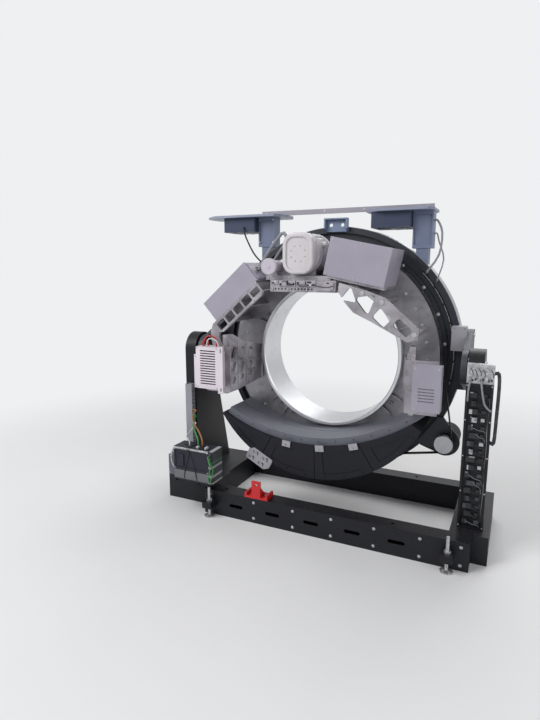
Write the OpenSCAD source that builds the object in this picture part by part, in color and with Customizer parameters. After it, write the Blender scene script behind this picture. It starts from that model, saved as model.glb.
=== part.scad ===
// Gantry of a medical CT scanner with its covers off: a welded base with two
// columns, a frame that tilts between them, and a rotor that spins in the frame
// and carries the tube, the high-voltage tanks and the detector.
// X is to the right, Y goes into the machine, and Z is up. The origin is on the
// floor, below the isocentre. Every length is in millimetres.

/* [Gantry] */
// Height of the rotor's axis above the floor
iso_h = 980; // [960:5:1060]
// Y of the scan plane, which also holds the tilt axis
scan_y = -90; // [-100:1:-80]
// Clear radius that the patient has
patient_r = 350; // [330:5:360]
// Inner radius of the polished rim round the bore
bore_r = 425; // [415:1:430]
// Half the distance between the inner faces of the two columns
column_x = 820; // [815:1:850]

/* [Base] */
// Height of the beams of the base
beam_h = 155; // [120:5:160]
// Depth of the front and rear beams
beam_d = 100; // [80:5:105]
// Wall of the beams and plinths
beam_wall = 8; // [5:1:12]
// Y of the front face of the front beam
base_front = -400; // [-450:5:-400]
// Y of the rear face of the rear beam
base_back = 400; // [380:5:450]
// Length of the front and rear beams to the left of the middle
beam_left = 640; // [630:5:660]
// Length of the front and rear beams to the right of the middle
beam_right = 900; // [890:5:960]
// X of the inner face of the right plinth
plinth_in = 790; // [760:5:810]
// X of the outer face of each plinth
plinth_out = 980; // [975:5:1040]
// Radius of each floor anchor hole
anchor_r = 9; // [6:0.5:12]
// Distance of the floor anchor holes from the middle along X
anchor_x = 510; // [490:5:520]
// Distance of the floor anchor holes from the middle along Y
anchor_y = 350; // [345:1:355]

/* [Columns] */
// Thickness of each column along X
column_t = 76; // [70:2:110]
// Radius of the head of each column round its trunnion
head_r = 105; // [95:5:115]
// Y of the rear edge of a column where it meets the plinth
column_back = 220; // [150:5:280]
// Radius of each trunnion pin
trunnion_r = 40; // [30:1:50]
// Radial running clearance of a shaft in its bearing
run_fit = 0.06; // [0.03:0.01:0.1]

/* [Levelling feet] */
// Distance of the left levelling feet from the middle
foot_left = 585; // [540:5:600]
// Distance of the right levelling feet from the middle
foot_right = 800; // [740:5:840]
// Radius of the levelling screw
foot_screw_r = 9; // [6:0.5:12]
// Radius of the round pad
foot_pad_r = 32; // [24:1:40]
// Height of the screw's top
foot_top = 190; // [160:5:200]

/* [Tilting frame] */
// Outer radius of the ring of the tilting frame
ring_r = 760; // [750:1:765]
// Inner radius of the ring, where the bearing sits
ring_bore_r = 655; // [650:1:665]
// Y of the front face of the ring
ring_front = 130; // [126:1:140]
// Depth of the ring
ring_d = 110; // [90:5:130]
// Width of the raised rim on the ring
ring_rim = 34; // [20:1:45]
// Thickness of the arms that carry the trunnions
arm_t = 30; // [20:1:32]
// Half the height of an arm where it meets the ring
arm_half = 170; // [120:5:200]

/* [Bearing and drive] */
// Radius where the two races of the main bearing meet
race_r = 600; // [590:1:610]
// Radial gap between surfaces that turn past each other
turn_gap = 0.3; // [0.2:0.1:0.5]
// Radial depth of the inner race
race_t = 40; // [30:1:45]
// Radius of the motor pulley
pulley_r = 45; // [35:1:55]
// Direction from the isocentre to the drive motor
motor_a = -35; // [-40:1:-30]
// Radius of the drive motor
motor_r = 75; // [60:1:80]
// Thickness of the drive belt
belt_t = 6; // [4:1:8]

/* [Rotor] */
// Radius of the rotor disc, which the belt runs on
disc_r = 650; // [640:1:655]
// Y of the front face of the rotor disc
disc_front = 55; // [50:1:60]
// Thickness of the rotor disc
disc_t = 35; // [30:1:38]
// Width of the polished rim, seen from in front
rim_w = 22; // [14:1:26]
// Y of the front edge of the polished rim
rim_front = 12; // [0:1:25]
// Wall of the bore liner behind the rim
liner_t = 12; // [8:1:14]
// Y of the front plane of the rotor's castings
cast_front = -270; // [-285:1:-260]
// Thickness of the front plates of the castings
cast_t = 22; // [16:1:28]

/* [Tube] */
// X of the axis of the tube housing
tube_x = -90; // [-100:1:-80]
// Height of that axis above the isocentre
tube_z = 595; // [590:1:600]
// Radius of the tube housing
tube_r = 115; // [105:1:117]
// Width and height of the rounded cap on its front
cap_w = 184; // [170:2:196]
cap_h = 226; // [200:2:228]
// Radius of the corners of the cap
cap_round = 68; // [50:1:72]
// Length of the cap
cap_l = 52; // [40:1:60]
// Width of the rim round the recess in the cap
cap_rim = 22; // [18:1:30]

/* [Tanks] */
// Direction that the left tank's flat side faces
tank_a = 131.5; // [130:0.5:133]
// Distance from the axis to the seat of the left tank
tank_seat = 560; // [556:1:562]
// Thickness of the left tank
tank_t = 132; // [120:1:134]
// Length of the left tank
tank_l = 380; // [360:5:380]
// Direction that the right tank's flat side faces
box_a = 78.5; // [78:0.5:79]
// Distance from the axis to the seat of the right tank
box_seat = 485; // [484:1:490]
// Thickness of the right tank
box_t = 205; // [190:1:208]
// Length of the right tank
box_l = 338; // [300:1:340]

/* [Detector] */
// Radius of the detector's face about the focal spot
detector_r = 1010; // [1000:1:1020]
// Thickness of the detector
detector_t = 42; // [30:1:46]
// Half the angle of the detector, seen from the focal spot
detector_half = 35; // [30:1:36]
// Outer radius of the electronics covers, about the isocentre
cover_r = 700; // [680:1:710]
// Angle of one electronics cover
cover_step = 30; // [28:1:30]
// Gap between two electronics covers
cover_gap = 4; // [2:1:8]

/* [Heat exchanger] */
// Width of the heat exchanger's grille box
grille_w = 152; // [140:1:156]
// Height of the grille box
grille_h = 255; // [220:1:258]
// Depth of the grille box
grille_d = 78; // [60:1:82]
// Number of slots in the grille
grille_slots = 14; // [10:1:16]
// Height of each slot
slot_h = 7; // [5:0.5:9]

/* [Top fans] */
// Height of the underside of the fan trays above the isocentre
tray_z = 835; // [832:1:850]
// Thickness of a fan tray
tray_t = 14; // [8:1:20]
// Radius of the hole that each impeller turns in
fan_r = 98; // [85:1:100]
// Height of each fan case
fan_h = 90; // [70:1:100]
// Number of blades
fan_blades = 7; // [5:1:9]
// Side of the square bar along the top
bar_s = 28; // [20:1:35]

/* [Hidden] */
$fn = 96;
over = 1;
seat_gap = 0.05;

// Places that follow from the sizes above
arm_out = column_x - 8;
arm_in = arm_out - arm_t;
ring_back = ring_front + ring_d;
disc_back = disc_front + disc_t;
race_back = ring_back - 15;
motor_dist = ring_r + motor_r + 15;
wall_t = 22;
column_front = scan_y - head_r;
post_w = 112;
post_d = 90;
fan_y = 205;
fan_side = 2 * fan_r + 34;
tray_bottom = iso_h + tray_z;
fan_case_bottom = tray_bottom - fan_h;
post_left_x = -530;
post_right_x = 452;
focus_x = -58;
focus_z = 547;
axis_a = atan2(-focus_z, -focus_x);

// A ring round the Y axis
module ring_y(r_in, r_out, y0, y1) {
    translate([0, y0, 0]) rotate([-90, 0, 0]) difference() {
        cylinder(h = y1 - y0, r = r_out);
        translate([0, 0, -over]) cylinder(h = y1 - y0 + 2 * over, r = r_in);
    }
}

// A round bar along Y
module rod_y(r, y0, y1) {
    translate([0, y0, 0]) rotate([-90, 0, 0]) cylinder(h = y1 - y0, r = r);
}

// A round bar along X
module rod_x(r, x0, x1) {
    translate([x0, 0, 0]) rotate([0, 90, 0]) cylinder(h = x1 - x0, r = r);
}

// A flat outline in X and Z, made solid from y0 to y1
module plate_y(y0, y1) {
    translate([0, y1, 0]) rotate([90, 0, 0]) linear_extrude(y1 - y0) children();
}

// An outline of radius and Y, turned round the Y axis
module turned_y() {
    rotate([-90, 0, 0]) rotate_extrude() children();
}

// A block given by its two corners
module block(a, b) {
    translate(a) cube(b - a);
}

// Places its children with +X pointing away from the isocentre at angle a
module spun(a) {
    translate([0, 0, iso_h]) rotate([0, -a, 0]) children();
}

// A rectangle with round corners, centred
module rounded(w, h, r) {
    square([w - 2 * r, h], center = true);
    square([w, h - 2 * r], center = true);
    for (sx = [-1, 1], sy = [-1, 1])
        translate([sx * (w / 2 - r), sy * (h / 2 - r)]) circle(r);
}

// A slot with round ends, centred, its length along the first axis
module slot(l, w) {
    square([l - w, w], center = true);
    for (s = [-1, 1]) translate([s * (l - w) / 2, 0]) circle(w / 2);
}

// A hexagon bolt head along Y whose underside is at y = 0 and top towards -Y
module bolt_head(r, h) {
    translate([0, -h, 0]) rotate([-90, 0, 0]) cylinder(h = h, r = r, $fn = 6);
}

// Base

// A hollow beam across the base, with a floor anchor hole near each end
module box_beam(y0) {
    difference() {
        block([-beam_left, y0, 0], [beam_right, y0 + beam_d, beam_h]);
        block([-beam_left + beam_wall, y0 + beam_wall, beam_wall],
              [beam_right - beam_wall, y0 + beam_d - beam_wall, beam_h - beam_wall]);
        for (sx = [-1, 1])
            translate([sx * anchor_x, sign(y0) * anchor_y, -over])
                cylinder(h = beam_h + 2 * over, r = anchor_r);
        children();
    }
}

beam_slots = [-420, -180, 60, 300, 540];

module front_beam() {
    color([0.10, 0.10, 0.11]) {
        box_beam(base_front)
            for (x = beam_slots) translate([x, 0, beam_h / 2])
                plate_y(base_front - over, base_front + beam_wall + over) slot(90, 22);
        foot_lugs(-1);
    }
}

module rear_beam() {
    color([0.10, 0.10, 0.11]) {
        box_beam(base_back - beam_d);
        foot_lugs(1);
    }
}

lug_z = 62;
lug_h = 40;
lug_d = 72;

// Lugs on the outer face of a beam that the levelling screws pass through
module foot_lugs(side) {
    face = side < 0 ? base_front : base_back;
    for (x = [-foot_left, foot_right]) difference() {
        translate([x, face + side * lug_d / 2, lug_z + lug_h / 2])
            cube([60, lug_d, lug_h], center = true);
        translate([x, face + side * lug_d / 2, 0])
            cylinder(h = beam_h, r = foot_screw_r + run_fit);
    }
}

module plinth(side) {
    x0 = side < 0 ? -plinth_out : plinth_in;
    x1 = side < 0 ? -beam_left : plinth_out;
    y0 = base_front + beam_d;
    y1 = base_back - beam_d;
    difference() {
        block([x0, y0, 0], [x1, y1, beam_h]);
        block([x0 + beam_wall, y0 + beam_wall, beam_wall],
              [x1 - beam_wall, y1 - beam_wall, beam_h - beam_wall]);
        for (y = [-120, 0, 120])
            translate([side * (plinth_out - beam_wall / 2), y, beam_h / 2]) rotate([0, 90, 0])
                linear_extrude(beam_wall + 2 * over, center = true) slot(70, 60);
    }
}

module plinth_left() { color([0.10, 0.10, 0.11]) plinth(-1); }
module plinth_right() { color([0.10, 0.10, 0.11]) plinth(1); }

// Side view of a column: a tapered post with a round head at the trunnion
module column_outline() {
    difference() {
        union() {
            translate([scan_y, iso_h]) circle(head_r);
            polygon([
                [column_front, beam_h], [column_back, beam_h],
                [scan_y + head_r, iso_h], [column_front, iso_h]
            ]);
        }
        translate([scan_y, iso_h]) circle(trunnion_r + run_fit);
    }
}

// A column stands on its plinth from its inner face outwards
module column(side) {
    inset = 26;
    foot_w = column_back - column_front;
    translate([side < 0 ? -column_x : column_x + column_t, 0, 0]) rotate([90, 0, -90])
        mirror([1, 0, 0]) difference() {
            linear_extrude(column_t) column_outline();
            translate([0, 0, side < 0 ? inset : -over]) linear_extrude(column_t - inset + over)
                for (row = [0, 1, 2]) {
                    w = foot_w * (0.62 - 0.13 * row);
                    translate([scan_y + 45 - 22 * row, beam_h + 140 + 205 * row])
                        rounded(w, 160, 24);
                }
        }
}

module column_left() { color([0.09, 0.09, 0.10]) column(-1); }
module column_right() { color([0.09, 0.09, 0.10]) column(1); }

module levelling_foot() {
    hex_r = 2 * foot_screw_r;
    color([0.80, 0.81, 0.82]) {
        cylinder(h = 8, r = foot_pad_r);
        translate([0, 0, 8]) cylinder(h = 8, r1 = foot_pad_r, r2 = foot_screw_r + 6);
        translate([0, 0, 16]) cylinder(h = foot_top - 16, r = foot_screw_r);
        difference() {
            translate([0, 0, lug_z + lug_h]) cylinder(h = 14, r = hex_r, $fn = 6);
            translate([0, 0, lug_z + lug_h - over]) cylinder(h = 16, r = foot_screw_r);
        }
    }
}

module levelling_feet() {
    for (x = [-foot_left, foot_right], y = [base_front - lug_d / 2, base_back + lug_d / 2])
        translate([x, y, 0]) levelling_foot();
}

lock_x = -286;
lock_leg_w = 56;
lock_foot_w = 148;
lock_top = 262;
lock_t = 12;

// Red transport lock, bolted to the front beam; it ends below the parts that swing
module transport_lock() {
    y0 = base_front;
    color([0.80, 0.10, 0.09]) difference() {
        union() {
            block([lock_x - lock_foot_w / 2, y0, beam_h], [lock_x + lock_foot_w / 2, y0 + 86, beam_h + lock_t]);
            block([lock_x - lock_leg_w / 2, y0, beam_h], [lock_x + lock_leg_w / 2, y0 + lock_t, lock_top]);
            for (s = [-1, 1])
                translate([lock_x + s * (lock_leg_w / 2 - 5), y0 + lock_t, beam_h + lock_t])
                    rotate([90, 0, 90]) linear_extrude(8, center = true)
                        polygon([[0, 0], [58, 0], [0, 60]]);
            for (s = [-1, 1])
                translate([lock_x + s * (lock_foot_w / 2 - 6), 0, 0])
                    block([-6, y0, beam_h + lock_t], [6, y0 + 86, beam_h + 30]);
        }
        translate([lock_x, 0, lock_top - 22]) rod_y(9, y0 - over, y0 + lock_t + over);
        for (s = [-1, 1])
            translate([lock_x + s * 46, y0 + 50, beam_h - over]) cylinder(h = lock_t + 2 * over, r = 7);
    }
}

servo_x0 = -820;
servo_x1 = -545;
servo_y0 = -465;
servo_y1 = -345;
servo_z0 = 218;
servo_z1 = 420;
servo_slab_h = 58;
servo_lip = 26;

// Bracket on the left plinth, with a shelf that reaches forward under the drive
module servo_stand() {
    t = 6;
    y1 = base_front + beam_d + 60;
    x1 = -beam_left - 12;
    color([0.12, 0.12, 0.13]) {
        block([servo_x0, base_front + beam_d, beam_h], [x1, y1, beam_h + t]);
        for (x = [servo_x0, x1 - t])
            translate([x, 0, 0]) rotate([90, 0, 90]) linear_extrude(t) polygon([
                [base_front + beam_d, beam_h + t], [y1, beam_h + t], [y1, servo_z0 - t],
                [servo_y0 + 10, servo_z0 - t], [servo_y0 + 10, servo_z0 - t - 16]
            ]);
        block([servo_x0, servo_y0, servo_z0 - t], [servo_x1, y1, servo_z0]);
    }
}

// Finned slab under the drive
module servo_heat_sink() {
    fins = 11;
    w = servo_x1 - servo_x0 - servo_lip;
    color([0.45, 0.46, 0.47]) difference() {
        block([servo_x0, servo_y0 + 6, servo_z0], [servo_x0 + w, servo_y1, servo_z0 + servo_slab_h]);
        for (i = [0 : fins - 1])
            block([servo_x0 + (i + 0.3) * w / fins, servo_y0 + 26, servo_z0 + 4],
                  [servo_x0 + (i + 0.7) * w / fins, servo_y1 + over, servo_z0 + servo_slab_h - 16]);
    }
}

module servo_drive() {
    w = servo_x1 - servo_x0 - servo_lip;
    z0 = servo_z0 + servo_slab_h;
    color([0.08, 0.08, 0.09]) {
        difference() {
            block([servo_x0, servo_y0 + 4, z0], [servo_x0 + w, servo_y1, servo_z1]);
            for (i = [0 : 7])
                translate([servo_x0 + 40 + i * 24, servo_y1 - 40, servo_z1 - 6])
                    linear_extrude(12) slot(8, 7.9);
            block([servo_x0 + 12, servo_y0, z0 + 16], [servo_x0 + w - 12, servo_y0 + 8, servo_z1 - 22]);
        }
        block([servo_x0 + 40, servo_y0, z0 + 30], [servo_x0 + 72, servo_y0 + 8, servo_z1 - 40]);
    }
}

module servo_connectors() {
    x0 = servo_x1 - servo_lip;
    rows = 7;
    pitch = (servo_z1 - servo_z0) / rows;
    color([0.62, 0.66, 0.62]) {
        block([x0, servo_y0 + 10, servo_z0], [servo_x1, servo_y1, servo_z1]);
        for (i = [0 : rows - 1])
            block([x0 + 4, servo_y0 - 2, servo_z0 + (i + 0.15) * pitch],
                  [servo_x1 - 4, servo_y0 + 10, servo_z0 + (i + 0.85) * pitch]);
    }
}

junction = [[-980, -300, beam_h], [-886, -222, beam_h + 135]];

module junction_box() {
    lid = 4;
    color([0.50, 0.52, 0.54]) difference() {
        block(junction[0], junction[1]);
        for (i = [0 : 2])
            translate([junction[0][0] + 28 + i * 28, 0, junction[1][2] - 46])
                rod_y(6, junction[0][1] - over, junction[0][1] + lid);
    }
}

duct_w = 48;
duct_d = 36;
duct_top = iso_h - 220;

// Slotted cable duct on the front of the left column
module cable_duct() {
    x0 = -column_x - 12 - duct_w;
    color([0.55, 0.57, 0.60]) difference() {
        block([x0, column_front - duct_d, beam_h], [x0 + duct_w, column_front, duct_top]);
        block([x0 + 3, column_front - duct_d + 3, beam_h + 3], [x0 + duct_w - 3, column_front - 3, duct_top + over]);
        for (z = [beam_h + 30 : 26 : duct_top - 30])
            block([x0 - over, column_front - duct_d + 6, z], [x0 + duct_w + over, column_front - 8, z + 9]);
    }
}

panel_w = 128;
panel_d = 46;
panel_top = iso_h - 50;
panel_front = column_front - panel_d;

module terminal_panel() {
    flange = 12;
    x0 = column_x;
    color([0.09, 0.09, 0.10]) {
        difference() {
            block([x0, panel_front, beam_h], [x0 + panel_w, column_front, panel_top]);
            block([x0 + flange, panel_front - over, beam_h + flange],
                  [x0 + panel_w - flange, panel_front + 14, panel_top - flange]);
        }
    }
}

terminal_rows = 17;

// Rows of terminal blocks on rails inside the panel
module terminals() {
    x0 = column_x + 22;
    pitch = (panel_top - beam_h - 60) / terminal_rows;
    y = panel_front + 14;
    color([0.78, 0.79, 0.80]) for (i = [0 : terminal_rows - 1]) {
        z = beam_h + 30 + i * pitch;
        w = 22 + 10 * (i % 3);
        block([x0 + 8 * (i % 2), y - 16, z], [x0 + 8 * (i % 2) + w, y, z + pitch * 0.62]);
        block([x0 + 58, y - 12, z + 5], [x0 + 58 + 22 - 5 * (i % 2), y, z + pitch * 0.5]);
    }
}

module terminal_box() {
    x0 = column_x;
    h = 98;
    color([0.72, 0.73, 0.74]) difference() {
        block([x0, panel_front + 6, panel_top], [x0 + panel_w, column_front, panel_top + h]);
        for (i = [0 : 3])
            translate([x0 + 22 + i * 28, 0, panel_top + 30]) rod_y(8, panel_front, panel_front + 16);
        block([x0 + 10, panel_front, panel_top + 62], [x0 + panel_w - 10, panel_front + 12, panel_top + 84]);
    }
}

// Tilting frame

ring_bolts = 24;
pad_half = arm_half;

// Ring with a raised rim and hub, and a pad at each side that takes an arm
module frame_ring() {
    recess = 26;
    hub = 26;
    rim_in = ring_r - ring_rim;
    color([0.11, 0.11, 0.12]) translate([0, 0, iso_h]) difference() {
        union() {
            turned_y() polygon([
                [ring_bore_r, ring_front], [ring_bore_r + hub, ring_front],
                [ring_bore_r + hub, ring_front + recess], [rim_in, ring_front + recess],
                [rim_in, ring_front], [ring_r, ring_front], [ring_r, ring_back],
                [ring_bore_r, ring_back]
            ]);
            for (sx = [-1, 1]) difference() {
                translate([sx * (arm_in / 2), (ring_front + ring_back) / 2, 0])
                    cube([arm_in, ring_d, 2 * pad_half], center = true);
                rod_y(ring_r - 8, ring_front - over, ring_back + over);
                translate([-sx * arm_in / 2, ring_front, 0])
                    cube([arm_in, 4 * ring_d, 4 * pad_half], center = true);
            }
        }
        for (i = [0 : ring_bolts - 1]) rotate([0, (i + 0.5) * 360 / ring_bolts, 0])
            translate([ring_bore_r + hub / 2, 0, 0]) rod_y(5, ring_front - over, ring_front + 20);
    }
}

band_t = 3;

// Bright band round the outside of the ring, cut away at the pads
module ring_rim_band() {
    half_a = asin((pad_half + 4) / (ring_r + band_t)) + 0.6;
    color([0.70, 0.71, 0.73]) for (side = [0, 1]) translate([0, 0, iso_h])
        translate([0, ring_back - 6, 0]) rotate([90, side * 180, 0])
            rotate([0, 0, half_a]) rotate_extrude(angle = 180 - 2 * half_a)
                translate([ring_r, 0]) square([band_t, ring_d - 12]);
}

module bearing_outer() {
    color([0.60, 0.62, 0.64]) translate([0, 0, iso_h])
        turned_y() polygon([
            [race_r + turn_gap, disc_back + 20], [race_r + 40, disc_back + 20],
            [race_r + 40, ring_front - 12], [ring_bore_r, ring_front - 12],
            [ring_bore_r, race_back], [race_r + turn_gap, race_back]
        ]);
}

arm_head_r = head_r - 15;

// An arm: a round head at the trunnion that widens to the ring, with a window
module arm(side) {
    translate([side < 0 ? -arm_in : arm_out, 0, iso_h]) rotate([90, 0, -90])
        mirror([1, 0, 0]) difference() {
            union() {
                translate([scan_y, 0, 0]) cylinder(h = arm_t, r = arm_head_r);
                linear_extrude(arm_t) polygon([
                    [scan_y, arm_head_r - 3], [ring_front, arm_half], [ring_back, arm_half],
                    [ring_back, -arm_half], [ring_front, -arm_half], [scan_y, -(arm_head_r - 3)]
                ]);
            }
            translate([scan_y, 0, -over]) cylinder(h = arm_t + 2 * over, r = trunnion_r);
            translate([62, 0, -over]) linear_extrude(arm_t + 2 * over) rounded(84, 120, 26);
            for (s = [-1, 1]) for (y = [ring_front + 28, ring_back - 28])
                translate([y, s * (arm_half - 30), -over]) cylinder(h = arm_t + 2 * over, r = 9);
        }
}

module arm_left() { color([0.20, 0.21, 0.22]) arm(-1); }
module arm_right() { color([0.20, 0.21, 0.22]) arm(1); }

// Stepped pin, pressed in the arm, that turns in the head of the column
module trunnion(side) {
    reach = column_x + column_t + 10 - arm_in;
    translate([side * arm_in, scan_y, iso_h]) rotate([0, side * 90, 0]) rotate_extrude() polygon([
        [0, 0], [trunnion_r, 0], [trunnion_r, arm_t], [trunnion_r + 14, arm_t],
        [trunnion_r + 14, arm_t + 7.7], [trunnion_r, arm_t + 7.7], [trunnion_r, reach - 4],
        [trunnion_r - 4, reach], [0, reach]
    ]);
}

module trunnions() {
    color([0.66, 0.67, 0.69]) for (side = [-1, 1]) trunnion(side);
}

bracket_t = 16;
shaft_r = 14;

// Plate on the front of the ring that holds the drive motor outside it
module motor_bracket() {
    color([0.30, 0.31, 0.33]) difference() {
        spun(motor_a) difference() {
            plate_y(ring_front - bracket_t, ring_front) union() {
                translate([motor_dist, 0]) circle(motor_r + 8);
                polygon([
                    [ring_r - ring_rim + 6, -95], [ring_r - 4, -110], [motor_dist, -(motor_r + 8)],
                    [motor_dist, motor_r + 8], [ring_r - 4, 110], [ring_r - ring_rim + 6, 95]
                ]);
            }
            translate([motor_dist, 0, 0]) rod_y(shaft_r + 6, 0, ring_back);
        }
    }
}

module drive_motor() {
    len = 190;
    fins = 9;
    color([0.16, 0.17, 0.18]) spun(motor_a) translate([motor_dist, 0, 0]) difference() {
        union() {
            rod_y(motor_r, ring_front, ring_front + 16);
            rod_y(motor_r - 10, ring_front + 16, ring_front + len);
            for (i = [0 : fins - 1])
                ring_y(motor_r - 12, motor_r - 2, ring_front + 30 + i * 16, ring_front + 37 + i * 16);
        }
        rod_y(shaft_r + run_fit, ring_front - over, ring_front + 60);
    }
}

module motor_pulley() {
    y0 = disc_front + 4;
    y1 = disc_back - 4;
    color([0.62, 0.63, 0.65]) spun(motor_a) translate([motor_dist, 0, 0]) turned_y() polygon([
        [0, y0 - 6], [pulley_r + 7, y0 - 6], [pulley_r + 7, y0 - 2], [pulley_r, y0 - 2],
        [pulley_r, y1 + 2], [pulley_r + 7, y1 + 2], [pulley_r + 7, y1 + 6], [shaft_r, y1 + 6],
        [shaft_r, ring_front + 56], [0, ring_front + 56]
    ]);
}

// Points of an arc round [x, 0], far enough out for its chords to clear radius r
function belt_arc(x, r, a0, a1, n) = [
    for (i = [0 : n]) let (a = a0 + i * (a1 - a0) / n)
        [x, 0] + r / cos((a1 - a0) / n / 2) * [cos(a), sin(a)]
];

// Outline of an open belt round the rotor and the motor pulley, at a distance from both
function belt_line(grow) = let (b = acos((disc_r - pulley_r) / motor_dist)) concat(
    belt_arc(0, disc_r + grow, b, 360 - b, 120),
    belt_arc(motor_dist, pulley_r + grow, -b, b, 18)
);

module drive_belt() {
    color([0.06, 0.06, 0.07]) spun(motor_a) plate_y(disc_front + 4, disc_back - 4) difference() {
        polygon(belt_line(turn_gap + belt_t));
        polygon(belt_line(turn_gap));
    }
}

// A post on the rim of the ring, cut to the rim's radius
module fan_post(x0) {
    neck = 22;
    y0 = ring_front + 6;
    neck_top = iso_h + sqrt(pow(ring_r, 2) - pow(min(abs(x0), abs(x0 + post_w)), 2)) + 16;
    difference() {
        union() {
            block([x0, y0, neck_top], [x0 + post_w, y0 + post_d, tray_bottom - seat_gap]);
            block([x0 + neck, y0 + 6, iso_h + 420], [x0 + post_w - neck, y0 + post_d - 6, neck_top + 5]);
        }
        translate([0, 0, iso_h]) rod_y(ring_r + band_t, 0, 2 * ring_back);
        block([x0 + 8, y0 - over, neck_top + 20], [x0 + post_w - 8, y0 + 10, tray_bottom - 20]);
    }
}

module fan_posts() {
    color([0.42, 0.46, 0.52]) for (x = [post_left_x, post_right_x]) fan_post(x);
}

fan_left_x = post_left_x - fan_side / 2 - 4;
fan_right_x = post_right_x - fan_side / 2 - 4;
tray_y0 = fan_y - 152;
tray_y1 = fan_y + 150;

// Flat tray with cut corners and a round hole over the impeller
module fan_tray(x0, x1, fan_x, nose) {
    recess_x1 = fan_x - fan_r - 10;
    translate([0, 0, tray_bottom]) difference() {
        linear_extrude(tray_t) polygon([
            [x0, fan_y - nose], [x0 + 95, tray_y0], [x1 - 30, tray_y0], [x1, tray_y0 + 60],
            [x1, tray_y1 - 60], [x1 - 30, tray_y1], [x0 + 95, tray_y1], [x0, fan_y + nose]
        ]);
        translate([fan_x, fan_y, -over]) cylinder(h = tray_t + 2 * over, r = fan_r - 6);
        // shallow recess in the long nose of the tray
        if (recess_x1 > x0 + 110) translate([0, 0, tray_t - 4]) linear_extrude(8) polygon([
            [x0 + 14, fan_y - nose + 4], [x0 + 100, tray_y0 + 12], [recess_x1, tray_y0 + 12],
            [recess_x1, tray_y1 - 12], [x0 + 100, tray_y1 - 12], [x0 + 14, fan_y + nose - 4]
        ]);
    }
}

module fan_tray_left() { color([0.55, 0.58, 0.63]) fan_tray(-905, post_left_x + post_w + 65, fan_left_x, 70); }
module fan_tray_right() { color([0.55, 0.58, 0.63]) fan_tray(fan_right_x - 150, post_right_x + post_w + 6, fan_right_x, 90); }

hub_r = 34;
spider_t = 6;
spider_h = 10;

// Square case with a round hole, and a spider across it that holds the fan motor
module fan_case(x) {
    translate([x, fan_y, fan_case_bottom]) {
        difference() {
            linear_extrude(fan_h) rounded(fan_side, fan_side, 12);
            translate([0, 0, -over]) cylinder(h = fan_h + 2 * over, r = fan_r);
        }
        for (i = [0 : 3]) rotate([0, 0, 45 + 90 * i])
            translate([hub_r - 2, -spider_t / 2, 0]) cube([fan_r - hub_r + 3, spider_t, spider_h]);
        cylinder(h = spider_h, r = hub_r);
        cylinder(h = fan_h - 34, r = 5);
    }
}

module fan_cases() {
    color([0.10, 0.10, 0.12]) for (x = [fan_left_x, fan_right_x]) fan_case(x);
}

blade_pitch = 32;

// Impeller with slanted blades round a hub that turns on the case's pin
module impeller(x) {
    gap = 1;
    h = fan_h - spider_h - 24;
    translate([x, fan_y, fan_case_bottom + spider_h + gap]) difference() {
        union() {
            cylinder(h = h, r = hub_r);
            for (i = [0 : fan_blades - 1]) rotate([0, 0, i * 360 / fan_blades])
                translate([hub_r - 3, 0, h / 2]) rotate([blade_pitch, 0, 0])
                    translate([0, -1.5, -h / 2 - 4])
                        intersection() {
                            cube([fan_r - hub_r - 1, 3, h + 8]);
                            translate([0, -10, 10]) cube([fan_r - hub_r - 1, 20, h - 12]);
                        }
        }
        translate([0, 0, -over]) cylinder(h = h - 10 + over, r = 5 + run_fit);
    }
}

module impeller_left() { color([0.16, 0.16, 0.18]) impeller(fan_left_x); }
module impeller_right() { color([0.16, 0.16, 0.18]) impeller(fan_right_x); }

module top_bar() {
    z0 = tray_bottom + tray_t;
    color([0.60, 0.59, 0.62])
        block([post_left_x, fan_y - bar_s / 2, z0], [post_right_x + post_w - 10, fan_y + bar_s / 2, z0 + bar_s]);
}

// Upright bracket on the front of the ring, at its top
module ring_bracket() {
    x0 = -67;
    x1 = 76;
    z0 = iso_h + ring_r - ring_rim + 5;
    z1 = iso_h + ring_r + 50;
    t = 10;
    y0 = ring_front - 40;
    color([0.40, 0.47, 0.56]) difference() {
        union() {
            block([x0, ring_front - t, z0], [x1, ring_front, z1]);
            for (x = [x0, x1 - 8])
                translate([x, ring_front - t, z0]) rotate([90, 0, 90]) linear_extrude(8)
                    polygon([[0, 0], [-30, 18], [-30, z1 - z0], [0, z1 - z0]]);
            block([x0, y0, z1 - 8], [x1, ring_front - t, z1]);
        }
        for (x = [x0 + 36, x1 - 36])
            translate([x, 0, z1 - 40]) rod_y(11, ring_front - t - over, ring_front + over);
    }
}

module ring_box() {
    x1 = arm_in;
    color([0.62, 0.63, 0.66]) difference() {
        translate([x1 - 40, 0, iso_h + 130]) plate_y(disc_back - 20, ring_front) rounded(80, 138, 6);
        for (sx = [-1, 1], sz = [-1, 1])
            translate([x1 - 40 + sx * 28, 0, iso_h + 130 + sz * 56]) rod_y(4, disc_back - 21, disc_back - 16);
    }
}

// Rotor

disc_ribs = [-151, -139, -127, -41, -29, 22, 158];
disc_bolts = 36;
boss_angles = [-145, -133, -121, -35, 28, 152];

module rotor_disc() {
    rim_out = bore_r + rim_w;
    color([0.62, 0.62, 0.64]) translate([0, 0, iso_h]) {
        difference() {
            ring_y(bore_r + liner_t, disc_r, disc_front, disc_back);
            for (i = [0 : disc_bolts - 1]) rotate([0, i * 360 / disc_bolts, 0])
                translate([race_r - race_t / 2, 0, 0]) rod_y(5, disc_front - over, disc_front + 9);
        }
        for (a = disc_ribs) rotate([0, -a, 0])
            translate([rim_out + 2, disc_front + over, 0]) rotate([90, 0, 0]) linear_extrude(20 + over)
                slot_from(66, 10);
        for (a = boss_angles) rotate([0, -a, 0]) translate([rim_out + 26, 0, 0])
            ring_y(5, 11, disc_front - 12, disc_front + over);
    }
}

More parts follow.
